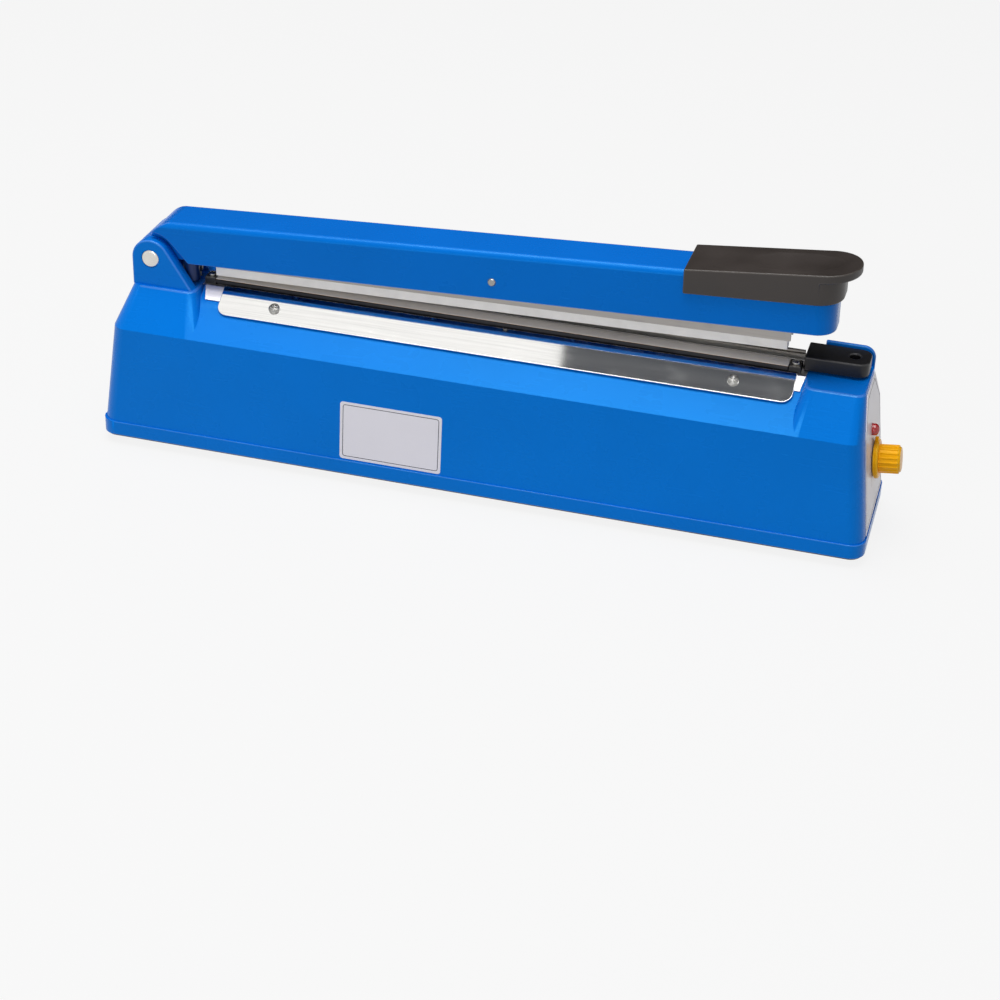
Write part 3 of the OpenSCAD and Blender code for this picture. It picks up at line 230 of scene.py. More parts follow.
def layered(name, colour, pitch, axis, roughness, metallic):
    """Stacked sheets or wound wire: fine grooves along one axis, with stains."""
    s = Surface(name, Metallic=metallic)
    grooves = s.wave(pitch, axis)
    stain = s.noise(0.01, 4)
    light = s.mixed(s.span(stain, 0, 1), scaled(colour, 0.8), scaled(colour, 1.12))
    s.feed("Base Color", s.mixed(s.span(grooves, 0, 0.6, 0.5, 1.0), light, scaled(colour, 0.45)))
    s.feed("Roughness", s.span(stain, roughness * 0.85, roughness * 1.2))
    s.relief(grooves, 0.0001)
    return s.material


def lens_red(name, colour):
    """Clear red lens: light passes a short way in and the skin is smooth."""
    s = Surface(name, Transmission_Weight=0.35, IOR=1.49, Coat_Weight=0.6)
    depth = s.noise(0.002, 2)
    s.feed("Base Color", s.mixed(s.span(depth, 0, 1), scaled(colour, 0.85), scaled(colour, 1.15)))
    s.feed("Roughness", s.span(s.noise(0.001, 3), 0.08, 0.16))
    return s.material


BASE_BLUE = srgb(0, 113, 213)
# The arm's blue is a little darker than the base's: partly painted shade on the arm's front face
ARM_BLUE = srgb(0, 105, 203)
WHITE = srgb(250, 252, 255)
# Share of white in the edge colours: partly wear, partly a painted highlight along the rounded edges
EDGE_WEAR_AND_HIGHLIGHT = 0.04
BASE_EDGE_WEAR_AND_HIGHLIGHT = between(BASE_BLUE, WHITE, EDGE_WEAR_AND_HIGHLIGHT)
ARM_EDGE_WEAR_AND_HIGHLIGHT = between(ARM_BLUE, WHITE, EDGE_WEAR_AND_HIGHLIGHT)
ALONG_X = (0.02, 1, 1)

# Tints of what the glossy plastics reflect
BLUE_SHEEN = (0.08, 0.6, 1.0, 1.0)
BLUE_GLINT = (0.3, 0.8, 1.0, 1.0)
AMBER_SHEEN = (1.0, 0.7, 0.15, 1.0)

MATERIALS = {
    "base_blue": plastic("base_blue", BASE_BLUE, 0.28, Specular_Tint=BLUE_SHEEN),
    "arm_blue": plastic("arm_blue", ARM_BLUE, 0.28, Specular_Tint=BLUE_SHEEN),
    "grip_black": grained("grip_black", srgb(46, 40, 37), 0.42, 0.0005, 0.00004),
    "black_plastic": grained("black_plastic", srgb(20, 19, 21), 0.40, 0.0004, 0.00002,
                             Specular_IOR_Level=0.35),
    # A darkened blue: painted shade for the blue parts that sit in shade under the arm
    "dark_blue_plastic": plastic("dark_blue_plastic", srgb(10, 44, 96), 0.4),
    "amber_plastic": plastic("amber_plastic", srgb(244, 174, 6), 0.3, Specular_Tint=AMBER_SHEEN),
    "red_plastic": lens_red("red_plastic", srgb(206, 10, 20)),
    "white_plastic": plastic("white_plastic", srgb(232, 230, 224), 0.38, 0.03),
    "label_white": plastic("label_white", srgb(232, 230, 238), 0.32, 0.02),
    "green_board": layered("green_board", srgb(24, 100, 58), 0.0025, "Z", 0.4, 0.0),
    "black_rubber": rubber("black_rubber", srgb(26, 26, 27), 0.65),
    "white_silicone": rubber("white_silicone", srgb(246, 243, 238), 0.5),
    "woven_cloth": woven("woven_cloth", srgb(232, 226, 219), 0.0006, 0.38, 0.00003),
    "tape_brown": woven("tape_brown", srgb(166, 120, 80), 0.0008, 0.5, 0.00003),
    "grey_steel": plastic("grey_steel", srgb(72, 72, 74), 0.45, 0.08, 0.0009, 0.00002),
    "light_steel": metal("light_steel", srgb(234, 231, 235), 0.36, ALONG_X),
    "chrome_plate": metal("chrome_plate", srgb(246, 245, 243), 0.045, ALONG_X, 0.0008, 0.0000006),
    "screw_steel": metal("screw_steel", srgb(158, 157, 154), 0.26),
    "bright_steel": metal("bright_steel", srgb(206, 203, 198), 0.3, ALONG_X),
    "element_alloy": metal("element_alloy", srgb(150, 146, 140), 0.35, ALONG_X),
    "aluminium": metal("aluminium", srgb(160, 156, 152), 0.34, ALONG_X),
    # Aluminium darkened: painted shade and dark reflection for the seal bed's front face
    "dark_aluminium": metal("dark_aluminium", srgb(52, 52, 55), 0.5, ALONG_X),
    "core_iron": layered("core_iron", srgb(88, 90, 94), 0.0005, "Y", 0.5, 1.0),
    "coil_copper": layered("coil_copper", srgb(176, 98, 46), 0.0007, "Z", 0.35, 1.0),
}
TURNED_PIN = turned("turned_pin", srgb(222, 218, 212), 0.28, PIN)

# Edges: paler and smoother than the face beside them; the paler colour is partly wear and partly a painted
# highlight
EDGES = {
    "base_blue": plastic("base_blue_edge", BASE_EDGE_WEAR_AND_HIGHLIGHT, 0.16, Specular_Tint=BLUE_GLINT),
    "arm_blue": plastic("arm_blue_edge", ARM_EDGE_WEAR_AND_HIGHLIGHT, 0.16, Specular_Tint=BLUE_GLINT),
    "grip_black": grained("grip_black_edge", srgb(60, 54, 50), 0.34, 0.0006, 0.00001),
    "black_plastic": grained("black_plastic_edge", srgb(34, 33, 35), 0.34, 0.0005, 0.00001),
    "amber_plastic": plastic("amber_plastic_edge", srgb(246, 186, 40), 0.24, Specular_Tint=AMBER_SHEEN),
}


# Pieces made from the frame's own nodes

def paint():
    """Every node takes the material of its slot."""
    for node, slot in SLOT_OF.items():
        mesh = NODES[node].data
        mesh.materials.clear()
        mesh.materials.append(TURNED_PIN if node == "hinge_pin" else MATERIALS[slot])


def add_piece(name, mesh, body, slot):
    """A new piece that rides on a body and takes a slot's material."""
    piece = bpy.data.objects.new(name, mesh)
    bpy.context.scene.collection.objects.link(piece)
    if not mesh.materials:
        mesh.materials.append(MATERIALS[slot])
    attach(piece, body)
    return piece


# Mending of the meshes before their edges are rounded
WELD = 0.03 * MM
THIN = 0.04 * MM
SHORT = 0.12 * MM
MOST_MENDS = 60
FLAT_TURN = math.radians(0.5)
SHARP_TURN = math.radians(24)


def thinness(face):
    """Area over longest side: about half the width of a sliver."""
    return face.calc_area() / max(edge.calc_length() for edge in face.edges)


def cleaned(node):
    """A node's mesh with its flat faces joined, and without slivers and very short edges."""
    bm = bmesh.new()
    bm.from_mesh(NODES[node].data)
    bmesh.ops.remove_doubles(bm, verts=bm.verts, dist=WELD)
    bmesh.ops.dissolve_degenerate(bm, dist=WELD, edges=bm.edges)
    bmesh.ops.dissolve_limit(bm, angle_limit=FLAT_TURN, verts=bm.verts, edges=bm.edges)
    for _ in range(MOST_MENDS):
        face = min(bm.faces, key=thinness)
        if thinness(face) > THIN:
            break
        longest = max(face.edges, key=lambda edge: edge.calc_length())
        bmesh.ops.dissolve_edges(bm, edges=[longest], use_verts=True, use_face_split=False)
    for _ in range(MOST_MENDS):
        shortest = min(bm.edges, key=lambda edge: edge.calc_length())
        if shortest.calc_length() > SHORT:
            break
        bmesh.ops.collapse(bm, edges=[shortest], uvs=False)
    bmesh.ops.dissolve_limit(bm, angle_limit=FLAT_TURN, verts=bm.verts, edges=bm.edges)
    return bm


def rounded(node, width_at, widest, segments=3):
    """A copy of a node whose sharp edges are rounded, which stands for the node.

    width_at gets an edge's middle, in millimetres, and whether it stands out.
    It gives the edge's width in millimetres.
    """
    mesh = bpy.data.meshes.new(node + "_rounded")
    bm = cleaned(node)
    weight = bm.edges.layers.float.new("bevel_weight_edge")
    for edge in bm.edges:
        edge.smooth = edge.calc_face_angle(0) < SHARP_TURN
        if edge.smooth:
            continue
        middle = (edge.verts[0].co + edge.verts[1].co) / 2 / MM
        width = width_at(middle, edge.is_convex)
        edge[weight] = width / widest
        edge.smooth = width > 0
    for face in bm.faces:
        face.smooth = True
    bm.to_mesh(mesh)
    bm.free()
    mesh.materials.append(NODES[node].data.materials[0])
    slot = SLOT_OF[node]
    piece = add_piece(node + "_rounded", mesh, BODY_OF[node], slot)
    bevel = piece.modifiers.new("rounding", "BEVEL")
    bevel.limit_method = "WEIGHT"
    bevel.width = widest * MM
    bevel.segments = segments
    bevel.use_clamp_overlap = False
    bevel.loop_slide = False
    # Rounded faces take the edge material, whose paler colour is partly wear and partly painted highlight
    if slot in EDGES:
        mesh.materials.append(EDGES[slot])
        bevel.material = 1
    normals = piece.modifiers.new("even_shading", "WEIGHTED_NORMAL")
    normals.keep_sharp = True
    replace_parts(piece, node)


def outer_only(width):
    """Width for edges that stand out, and none for inner corners."""
    return lambda p, convex: width if convex else 0


# Edge rounding of the rigid pieces, in millimetres

BLOCK_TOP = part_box("saddle_plate")[1].z / MM - 0.8
SHOULDER_Z = 65.8
RIM_Z = 12.8
FOOT_Z = 5.3
BLOCK_X = 150
PANEL_END_X = 140
FENCE_Y = 10
EARS_X = -187
EARS_Y = 13
FOOT_X = 190
FOOT_Y = 37
EAR_BORE = 6
ARM_BORE = 5
NEAR = 0.2
BASE_WIDEST = 0.9
ARM_WIDTH = 0.6


def from_pin(p):
    """Distance from the hinge line, seen from the front."""
    return math.hypot(p.x - PIN.x / MM, p.z - PIN.z / MM)


def base_edge(p, convex):
    """Edge widths of the base housing, none on inner corners and on the hinge bore."""
    if not convex or from_pin(p) < EAR_BORE:
        return 0
    if p.z > BLOCK_TOP + NEAR:
        on_ears = p.x < 0
        return 0.8 if on_ears else 0.6
    below_fence = p.x > BLOCK_X and p.y > FENCE_Y
    below_ears = p.x < EARS_X and abs(p.y) > EARS_Y
    if below_fence or below_ears:
        return 0
    if abs(p.z - BLOCK_TOP) < NEAR:
        return BASE_WIDEST if abs(p.x) > BLOCK_X else 0
    if p.z > SHOULDER_Z + 2 * NEAR:
        return 0.7 if abs(p.x) > PANEL_END_X else 0
    on_foot = p.z < FOOT_Z and (abs(p.y) > FOOT_Y or abs(p.x) > FOOT_X)
    if abs(p.z - RIM_Z) < NEAR / 2 or on_foot:
        return 0.35
    return 0


def arm_edge(p, convex):
    """Edge widths of the pressing arm, none on inner corners and on the hinge bore."""
    if not convex or from_pin(p) < ARM_BORE:
        return 0
    return ARM_WIDTH


ROUNDED = {
    "arm_grip": 0.7,
    "cutter_grip": 0.8,
    "saddle_plate": 0.2,
    "seal_bed": 0.2,
    "cutter_bar": 0.2,
    "cutter_guide": 0.15,
    "retaining_plate": 0.35,
    "pressure_channel": 0.2,
    "silicone_strip": 0.5,
    "terminal_blocks": 0.35,
    "timer_knob": 0.25,
    "end_label": 0.1,
    "hinge_pin": 0.3,
    "side_screw": 0.12,
    "retaining_screws": 0.12,
    "terminal_screws": 0.12,
    "bottom_screws": 0.12,
    "grip_screws": 0.12,
    "blade_carrier": 0.3,
    "spring_cup": 0.3,
    "rubber_feet": 0.4,
    "cable_grommet": 0.3,
    "bottom_plate": 0.25,
    "transformer_coil": 1.0,
    "switch_button": 0.2,
    "timer_capacitor": 0.5,
}


# Small shapes

SHARP_SHADING = math.radians(32)


def mesh_of(name, bm):
    """The finished mesh with its faces turned outward and smooth shading."""
    bmesh.ops.recalc_face_normals(bm, faces=bm.faces)
    for face in bm.faces:
        face.smooth = True
    mesh = bpy.data.meshes.new(name)
    bm.to_mesh(mesh)
    bm.free()
    mesh.set_sharp_from_angle(angle=SHARP_SHADING)
    return mesh


def tube(bm, points, radius, sides):
    """A closed round tube along a row of points."""
    rings = []
    for i, point in enumerate(points):
        ahead = points[min(i + 1, len(points) - 1)] - points[max(i - 1, 0)]
        side = ahead.cross(Vector((0, 0, 1))).normalized()
        lift = side.cross(ahead).normalized()
        turns = [2 * math.pi * k / sides for k in range(sides)]
        spokes = [math.cos(a) * side + math.sin(a) * lift for a in turns]
        rings.append([bm.verts.new(point + radius * spoke) for spoke in spokes])
    for low, high in zip(rings, rings[1:]):
        for k in range(sides):
            bm.faces.new((low[k], low[k - 1], high[k - 1], high[k]))
    bm.faces.new(rings[0])
    bm.faces.new(rings[-1])


def lathe(bm, profile, centre, axis, steps):
    """A turned shape: profile is a row of (radius, height) from the axis round and back to it."""
    side = axis.orthogonal().normalized()
    across = axis.cross(side)
    turns = [2 * math.pi * k / steps for k in range(steps)]
    spokes = [math.cos(a) * side + math.sin(a) * across for a in turns]
    rings = []
    for radius, height in profile:
        middle = centre + axis * height
        if radius == 0:
            rings.append([bm.verts.new(middle)])
        else:
            rings.append([bm.verts.new(middle + radius * spoke) for spoke in spokes])
    for low, high in zip(rings, rings[1:]):
        for k in range(steps):
            after = k + 1
            corners = [low[k % len(low)], low[after % len(low)]]
            corners += [high[after % len(high)], high[k % len(high)]]
            bm.faces.new(list(dict.fromkeys(corners)))


def slab(bm, outline, lift):
    """A thin closed slab: the outline's points and the same points moved by lift."""
    low = [bm.verts.new(p) for p in outline]
    high = [bm.verts.new(p + lift) for p in outline]
    bm.faces.new(low)
    bm.faces.new(high)
    for k in range(len(outline)):
        bm.faces.new((low[k - 1], low[k], high[k], high[k - 1]))


# Return spring under the arm

def return_spring():
    """Round wire wound with closed end turns, filling the spring's box."""
    low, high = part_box("return_spring")
    wire = 0.45 * MM
    radius = (high.x - low.x) / 2 - wire
    centre = (low + high) / 2
    turns = 6
    steps = turns * 32
    closing = 0.35
    rise = high.z - low.z - 2 * wire
    points = []
    for i in range(steps + 1):
        share = i / steps
        angle = 2 * math.pi * turns * share
        eased = share - math.sin(2 * math.pi * share) / (2 * math.pi) * closing
        points.append(Vector((centre.x + radius * math.cos(angle), centre.y + radius * math.sin(angle),
                              low.z + wire + rise * eased)))
    bm = bmesh.new()
    tube(bm, points, wire, 12)
    mesh = mesh_of("spring_coil", bm)
    mesh.materials.append(MATERIALS["bright_steel"])
    coil = bpy.data.objects.new("spring_coil", mesh)
    bpy.context.scene.collection.objects.link(coil)
    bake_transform(coil)
    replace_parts(coil, "return_spring")


# Cloth over the heating element and the tape under it

def swept_sheet(name, profile, thickness, x0, x1, slot, ripple):
    """A sheet that follows a profile of (y, z) along x, with faint ripples, closed all round."""
    steps = 160
    short_wave = 0.61
    long_wave = 0.23
    bm = bmesh.new()
    ups = []
    for i in range(len(profile)):
        ahead = Vector(profile[min(i + 1, len(profile) - 1)]) - Vector(profile[max(i - 1, 0)])
        ups.append(Vector((ahead.y, -ahead.x)).normalized())
    columns = []
    for k in range(steps + 1):
        x = x0 + (x1 - x0) * k / steps
        thick = thickness + ripple * (math.sin(k * short_wave) + math.sin(k * long_wave + 1.0)) / 2
        under = [bm.verts.new((x, y, z)) for y, z in profile]
        over = [bm.verts.new((x, y + up.x * thick, z + up.y * thick)) for (y, z), up in zip(profile, ups)]
        columns.append(under + over[::-1])
    for a, b in zip(columns, columns[1:]):
        for k in range(len(a)):
            bm.faces.new((a[k - 1], a[k], b[k], b[k - 1]))
    bm.faces.new(columns[0])
    bm.faces.new(columns[-1])
    return add_piece(name, mesh_of(name, bm), "base", slot)


def seal_cover():
    """Coated cloth drawn over the element and down behind the bed, sagging a little beside the element."""
    low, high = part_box("cover_cloth")
    tape_low, tape_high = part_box("insulating_tape")
    thickness = 0.19 * MM
    room = 0.2 * MM
    seal_y = (tape_low.y + tape_high.y) / 2 - 0.25 * MM
    top = high.z - room
    rear = high.y - room
    bend = 0.35 * MM
    sag = 0.1 * MM
    sag_from = 1.6
    sag_over = 1.2
    profile = [(rear, low.z)]
    profile += [(rear, low.z + (top - bend - low.z) * share) for share in (0.5, 0.9)]
    for k in range(7):
        turn = math.radians(15 * k)
        profile.append((rear - bend + bend * math.cos(turn), top - sag - bend + bend * math.sin(turn)))
    for k in range(1, 25):
        y = rear - bend + (low.y - rear + bend) * k / 24
        beside = min(1.0, max(0.0, (abs(y - seal_y) / MM - sag_from) / sag_over))
        profile.append((y, top - sag * beside * beside * (3 - 2 * beside)))
    cloth = swept_sheet("cover_sheet", profile, thickness, low.x, high.x, "woven_cloth", 0.012 * MM)
    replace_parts(cloth, "cover_cloth")
    thin = (tape_high.z - tape_low.z) * 0.98
    edge = [(tape_high.y + (tape_low.y - tape_high.y) * k / 12, tape_low.z) for k in range(13)]
    tape = swept_sheet("tape_strip", edge, thin, tape_low.x, tape_high.x, "tape_brown", 0.0)
    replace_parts(tape, "insulating_tape")


# Pilot lamp

def lamp():
    """Domed lens with a flat rim, on the end wall's own axis."""
    low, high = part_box("lamp_lens")
    middle = (low + high) / 2
    radius = (high.y - low.y) / 2
    rise = (middle.z - KNOB.z) * KNOB_AXIS.z + (middle.x - KNOB.x) * KNOB_AXIS.x
    centre = middle - KNOB_AXIS * rise
    deep = -2.0 * MM
    rim = 2.0
    dome = 2.2
    profile = [(0, deep), (radius, deep), (radius, rim * MM)]
    profile += [(radius * math.cos(math.radians(a)), (rim + dome * math.sin(math.radians(a))) * MM)
                for a in range(10, 90, 10)]
    profile.append((0, (rim + dome) * MM))
    bm = bmesh.new()
    lathe(bm, profile, centre, KNOB_AXIS, 48)
    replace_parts(add_piece("lamp_dome", mesh_of("lamp_dome", bm), "base", "red_plastic"), "lamp_lens")


# Marks printed on the end plate

INK = plastic("ink", srgb(44, 44, 62), 0.5, 0.1)
INK_T = 0.03 * MM
INK_SUNK = 0.01 * MM
PLATE_GAP = 0.02 * MM
PLATE_OUT = 0.52 * MM
UP_WALL = Vector((-KNOB_AXIS.z, 0, KNOB_AXIS.x))
REAR = Vector((0, 1, 0))
DIAL_START = -140
TICK_STEP = 10
TICKS = 29
TICKS_PER_NUMBER = 4
TICK_FROM = 11.0 * MM
NUMBER_AT = 13.8 * MM
NUMBER_SIZE = 2.6 * MM


def plate_point(y, z):
    """A point on the outer face of the bent end plate, at y and z in metres."""
    lean = KNOB_AXIS.z / KNOB_AXIS.x
    shoulder = SHOULDER_Z * MM
    x = KNOB.x - (min(z, shoulder) - KNOB.z) * lean
    if z > shoulder:
        low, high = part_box("end_label")
        x -= (z - shoulder) * (x + PLATE_GAP - low.x) / (high.z - shoulder)
    return Vector((x + PLATE_OUT, y, z))


def dial_point(radius, degrees):
    """A point round the knob, clockwise from the top as seen from outside."""
    turn = math.radians(degrees)
    flat = REAR * math.sin(turn) + UP_WALL * math.cos(turn)
    return KNOB + KNOB_AXIS * (PLATE_OUT * KNOB_AXIS.x) + flat * radius


def ink_bar(bm, a, b, width, out):
    """A thin printed bar from a to b on a face that looks outward."""
    side = (b - a).cross(out).normalized() * width / 2
    start = out * -INK_SUNK
    slab(bm, [p + start for p in (a - side, b - side, b + side, a + side)], out * INK_T)


def ink_digit(bm, text, size, place, right, up):
    """A printed digit, centred on its place."""
    curve = bpy.data.curves.new("digit", "FONT")
    curve.body = text
    curve.size = size
    curve.extrude = INK_T / 2
    curve.align_x = "CENTER"
    curve.align_y = "CENTER"
    holder = bpy.data.objects.new("digit", curve)
    bpy.context.scene.collection.objects.link(holder)
    bpy.context.view_layer.update()
    mesh = bpy.data.meshes.new_from_object(holder.evaluated_get(bpy.context.evaluated_depsgraph_get()))
    out = right.cross(up)
    mesh.transform(Matrix.Translation(place) @ Matrix((right, up, out)).transposed().to_4x4())
    bm.from_mesh(mesh)
    bpy.data.objects.remove(holder)
    bpy.data.curves.remove(curve)
    bpy.data.meshes.remove(mesh)


def end_plate_marks():
    """Border line, dial ticks and plain dial numbers."""
    bm = bmesh.new()
    border = 0.5 * MM
    corners = [(26.4, 16.4), (23.9, SHOULDER_Z), (11.6, 80.6)]
    loop = corners + [(-y, z) for y, z in reversed(corners)]
    spots = [plate_point(y * MM, z * MM) for y, z in loop]
    for k in range(len(spots)):
        out = REAR.cross(spots[k] - spots[k - 1])
        if out.x < 0:
            out = -out
        level = abs(loop[k][1] - loop[k - 1][1]) < 0.01
        ink_bar(bm, spots[k - 1], spots[k], border, KNOB_AXIS if level else out.normalized())
    for i in range(TICKS):
        angle = DIAL_START + TICK_STEP * i
        numbered = i % TICKS_PER_NUMBER == 0
        reach, width = (12.3, 0.4) if numbered else (11.8, 0.25)
        ink_bar(bm, dial_point(TICK_FROM, angle), dial_point(reach * MM, angle), width * MM, KNOB_AXIS)
        if numbered:
            number = str(i // TICKS_PER_NUMBER + 1)
            ink_digit(bm, number, NUMBER_SIZE, dial_point(NUMBER_AT, angle), REAR, UP_WALL)
    mesh = mesh_of("end_plate_print", bm)
    mesh.materials.append(INK)
    add_piece("end_plate_print", mesh, "base", "black_plastic")


# Pointer of the timer knob

def knob_pointer():
    """A nib on the knob's flange that points at the dial."""
    lowest = min((v.co - KNOB).dot(KNOB_AXIS) for v in NODES["timer_knob"].data.vertices)
    raised = 0.4 * MM
    thickness = 1.8
    rounding = 0.2 * MM
    start = KNOB + KNOB_AXIS * (lowest + raised)
    outline = [(-2.4, 9.0), (2.4, 9.0), (0.7, 12.0), (-0.7, 12.0)]
    bm = bmesh.new()
    slab(bm, [start + (REAR * y + UP_WALL * z) * MM for y, z in outline], KNOB_AXIS * thickness * MM)
    bmesh.ops.bevel(bm, geom=bm.edges[:], offset=rounding, segments=2, profile=0.5, affect="EDGES")
    add_piece("knob_pointer", mesh_of("knob_pointer", bm), "knob", "amber_plastic")


# Blank sticker on the front wall

LEAN_SIN = 0.0509
LEAN_COS = 0.9987
FRONT_OUT = Vector((0, -LEAN_COS, LEAN_SIN))
FRONT_UP = Vector((0, LEAN_SIN, LEAN_COS))
WALL_FOOT_Y = 36.7
STICKER_T = 0.12


def front_point(x, z):
    """A point on the sloping front wall, at x and z in metres."""
    return Vector((x, -(WALL_FOOT_Y - (z / MM - RIM_Z) * LEAN_SIN) * MM, z))


def round_corners(width, height, radius, steps):
    """Outline of a rectangle with rounded corners, as pairs from its lower left corner."""
    right = width - radius
    top = height - radius
    centres = [(right, radius, -90), (right, top, 0), (radius, top, 90), (radius, radius, 180)]
    spots = []
    for x, y, start in centres:
        for k in range(steps + 1):
            turn = math.radians(start + 90 * k / steps)
            spots.append((x + radius * math.cos(turn), y + radius * math.sin(turn)))
    return spots


def front_sticker():
    """A bare silvery sticker with a printed border line."""
    x0, z0 = -74.1 * MM, 13.6 * MM
    width, height = 54 * MM, 32 * MM
    corner = front_point(x0, z0)
    along = Vector((1, 0, 0))
    bm = bmesh.new()
    outline = round_corners(width, height, 1.6 * MM, 6)
    slab(bm, [corner + along * x + FRONT_UP * y for x, y in outline], FRONT_OUT * STICKER_T * MM)
    add_piece("front_sticker", mesh_of("front_sticker", bm), "base", "label_white")
    bm = bmesh.new()
    inset = 1.6 * MM
    border = 0.35 * MM
    lines = round_corners(width - 2 * inset, height - 2 * inset, 1.2 * MM, 4)
    face = corner + FRONT_OUT * STICKER_T * MM
    spots = [face + along * (x + inset) + FRONT_UP * (y + inset) for x, y in lines]
    for k in range(len(spots)):
        ink_bar(bm, spots[k - 1], spots[k], border, FRONT_OUT)
    mesh = mesh_of("sticker_print", bm)
    mesh.materials.append(INK)
    add_piece("sticker_print", mesh, "base", "black_plastic")


# Camera

def camera():
    """The photograph's view, as fitted to it: where the lens stands and how it is turned."""
    azimuth, elevation, roll = (math.radians(v) for v in (14.16, 29.64, -2.38))
    eye = Vector((0.26100, -0.97648, 0.57623))
    right = Vector((math.cos(azimuth), math.sin(azimuth), 0))
    look = Vector((-math.sin(azimuth) * math.cos(elevation), math.cos(azimuth) * math.cos(elevation),
                   -math.sin(elevation)))
    up = right.cross(look)
    across = math.cos(roll) * right - math.sin(roll) * up
    upward = math.sin(roll) * right + math.cos(roll) * up
    lens = bpy.data.cameras.new("lens")
    lens.lens = 80.08
    lens.sensor_width = 36
    lens.shift_x = -0.02435
    lens.shift_y = -0.03069
    lens.clip_start = 0.05
    made = bpy.data.objects.new("camera", lens)
    turn = Matrix((across, upward, -look)).transposed().to_4x4()
    made.matrix_world = Matrix.Translation(eye) @ turn
    bpy.context.scene.collection.objects.link(made)
    bpy.context.scene.camera = made


# Stage and light

def seen_directly(tree):
    """1 for rays from the camera and for reflected or refracted ones."""
    path = tree.nodes.new("ShaderNodeLightPath")
    total = path.outputs["Is Camera Ray"]
    for name in ("Is Glossy Ray", "Is Transmission Ray"):
        add = tree.nodes.new("ShaderNodeMath")
        add.operation = "MAXIMUM"
        tree.links.new(total, add.inputs[0])
        tree.links.new(path.outputs[name], add.inputs[1])
        total = add.outputs[0]
    return total


def world_light(strength):
    """Even light of that strength all round, which looks pale where it is seen directly."""
    world = bpy.data.worlds.new("studio")
    bpy.context.scene.world = world
    world.use_nodes = True
    tree = world.node_tree
    tree.nodes.clear()
    dim = tree.nodes.new("ShaderNodeBackground")
    dim.inputs["Strength"].default_value = strength
    pale = tree.nodes.new("ShaderNodeBackground")
    pale.inputs["Color"].default_value = (0.9, 0.9, 0.9, 1)
    pale.inputs["Strength"].default_value = 1.0
    mix = tree.nodes.new("ShaderNodeMixShader")
    out = tree.nodes.new("ShaderNodeOutputWorld")
    tree.links.new(seen_directly(tree), mix.inputs[0])
    tree.links.new(dim.outputs[0], mix.inputs[1])
    tree.links.new(pale.outputs[0], mix.inputs[2])
    tree.links.new(mix.outputs[0], out.inputs[0])


def floor():
    """A pale floor that keeps part of the shadow."""
    reach = 16.0
    glow_share = 0.86
    mesh = bpy.data.meshes.new("floor")
    bm = bmesh.new()
    bmesh.ops.create_grid(bm, x_segments=1, y_segments=1, size=reach)
    bm.to_mesh(mesh)
    bm.free()
    made = bpy.data.objects.new("floor", mesh)
    made.location.z = -0.2 * MM
    bpy.context.scene.collection.objects.link(made)
    material = bpy.data.materials.new("floor")
    material.use_nodes = True
    tree = material.node_tree
    shader = tree.nodes["Principled BSDF"]
    shader.inputs["Base Color"].default_value = (0.5, 0.5, 0.5, 1)
    shader.inputs["Roughness"].default_value = 0.9
    shader.inputs["Specular IOR Level"].default_value = 0.0
    glow = tree.nodes.new("ShaderNodeEmission")
    glow.inputs["Strength"].default_value = 1.0
    mix = tree.nodes.new("ShaderNodeMixShader")
    share = tree.nodes.new("ShaderNodeMath")
    share.operation = "MULTIPLY"
    share.inputs[1].default_value = glow_share
    tree.links.new(seen_directly(tree), share.inputs[0])
    tree.links.new(share.outputs[0], mix.inputs[0])
    tree.links.new(shader.outputs[0], mix.inputs[1])
    tree.links.new(glow.outputs[0], mix.inputs[2])
    tree.links.new(mix.outputs[0], tree.nodes["Material Output"].inputs["Surface"])
    mesh.materials.append(material)


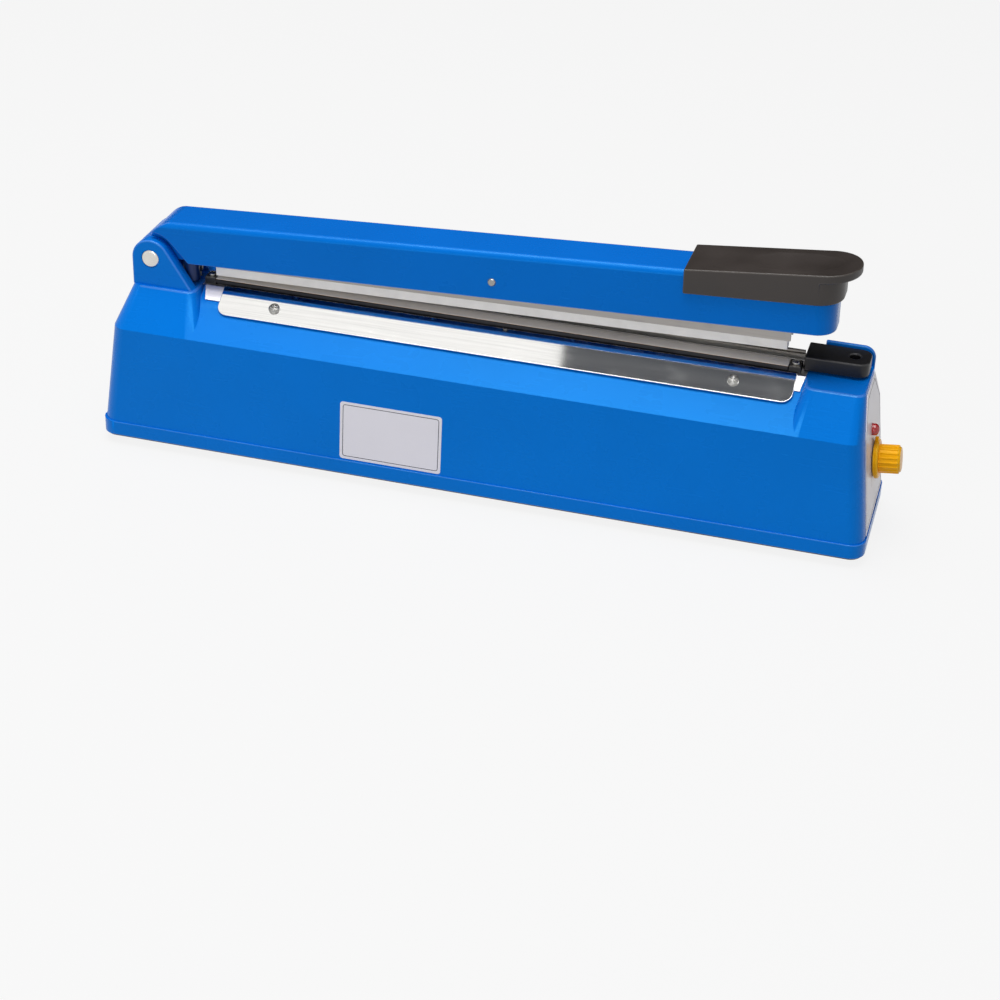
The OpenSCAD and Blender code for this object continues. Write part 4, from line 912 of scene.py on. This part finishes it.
def softbox(name, place, target, width, depth, power, mirrored):
    """A flat lamp, in metres and watts, aimed at a target; mirrored says whether polished faces show it."""
    light = bpy.data.lights.new(name, "AREA")
    light.shape = "RECTANGLE"
    light.size = width
    light.size_y = depth
    light.energy = power
    made = bpy.data.objects.new(name, light)
    made.visible_glossy = mirrored
    made.location = place
    made.rotation_mode = "QUATERNION"
    made.rotation_quaternion = (Vector(target) - Vector(place)).to_track_quat("-Z", "Y")
    bpy.context.scene.collection.objects.link(made)


def card(name, corners, glow):
    """A card of even brightness that only polished faces see."""
    mesh = bpy.data.meshes.new(name)
    mesh.from_pydata(corners, [], [(0, 1, 2, 3)])
    made = bpy.data.objects.new(name, mesh)
    bpy.context.scene.collection.objects.link(made)
    material = bpy.data.materials.new(name)
    material.use_nodes = True
    shader = material.node_tree.nodes["Principled BSDF"]
    shader.inputs["Base Color"].default_value = (0.0, 0.0, 0.0, 1)
    shader.inputs["Specular IOR Level"].default_value = 0.0
    shader.inputs["Emission Color"].default_value = glow
    shader.inputs["Emission Strength"].default_value = 1.0
    mesh.materials.append(material)
    made.visible_camera = False
    made.visible_diffuse = False
    made.visible_shadow = False
    made.visible_transmission = False


def overhead_corners(x0, x1):
    """Corners of a level card over the part, between two x."""
    front, rear, height = -0.23, -0.08, 1.2
    return [(x0, front, height), (x0, rear, height), (x1, rear, height), (x1, front, height)]


BEHIND = [(-1.6, 1.0, 0.0), (1.6, 1.0, 0.0), (1.6, 1.0, 1.4), (-1.6, 1.0, 1.4)]

camera()
paint()
rounded("base_shell", base_edge, BASE_WIDEST)
rounded("arm_shell", arm_edge, ARM_WIDTH)
for node_name, edge_width in ROUNDED.items():
    rounded(node_name, outer_only(edge_width), edge_width, 2)
return_spring()
seal_cover()
lamp()
end_plate_marks()
knob_pointer()
front_sticker()
world_light(0.3)
floor()
softbox("overhead", (-0.1, -0.12, 1.45), (-0.05, -0.06, 0.08), 1.3, 0.8, 19, True)
softbox("front_top", (-0.5, -1.3, 0.75), (0, 0, 0.08), 0.9, 0.25, 4, False)
softbox("front_low", (-0.3, -1.7, 0.35), (0, 0, 0.09), 1.0, 0.4, 3, True)
card("dark_flag", overhead_corners(-0.2, 0.35), (0.075, 0.08, 0.09, 1))
card("pale_flag", overhead_corners(-0.8, -0.2), (0.95, 0.95, 0.94, 1))
card("back_card", BEHIND, (0.03, 0.03, 0.03, 1))
bpy.context.scene.view_settings.view_transform = "Standard"
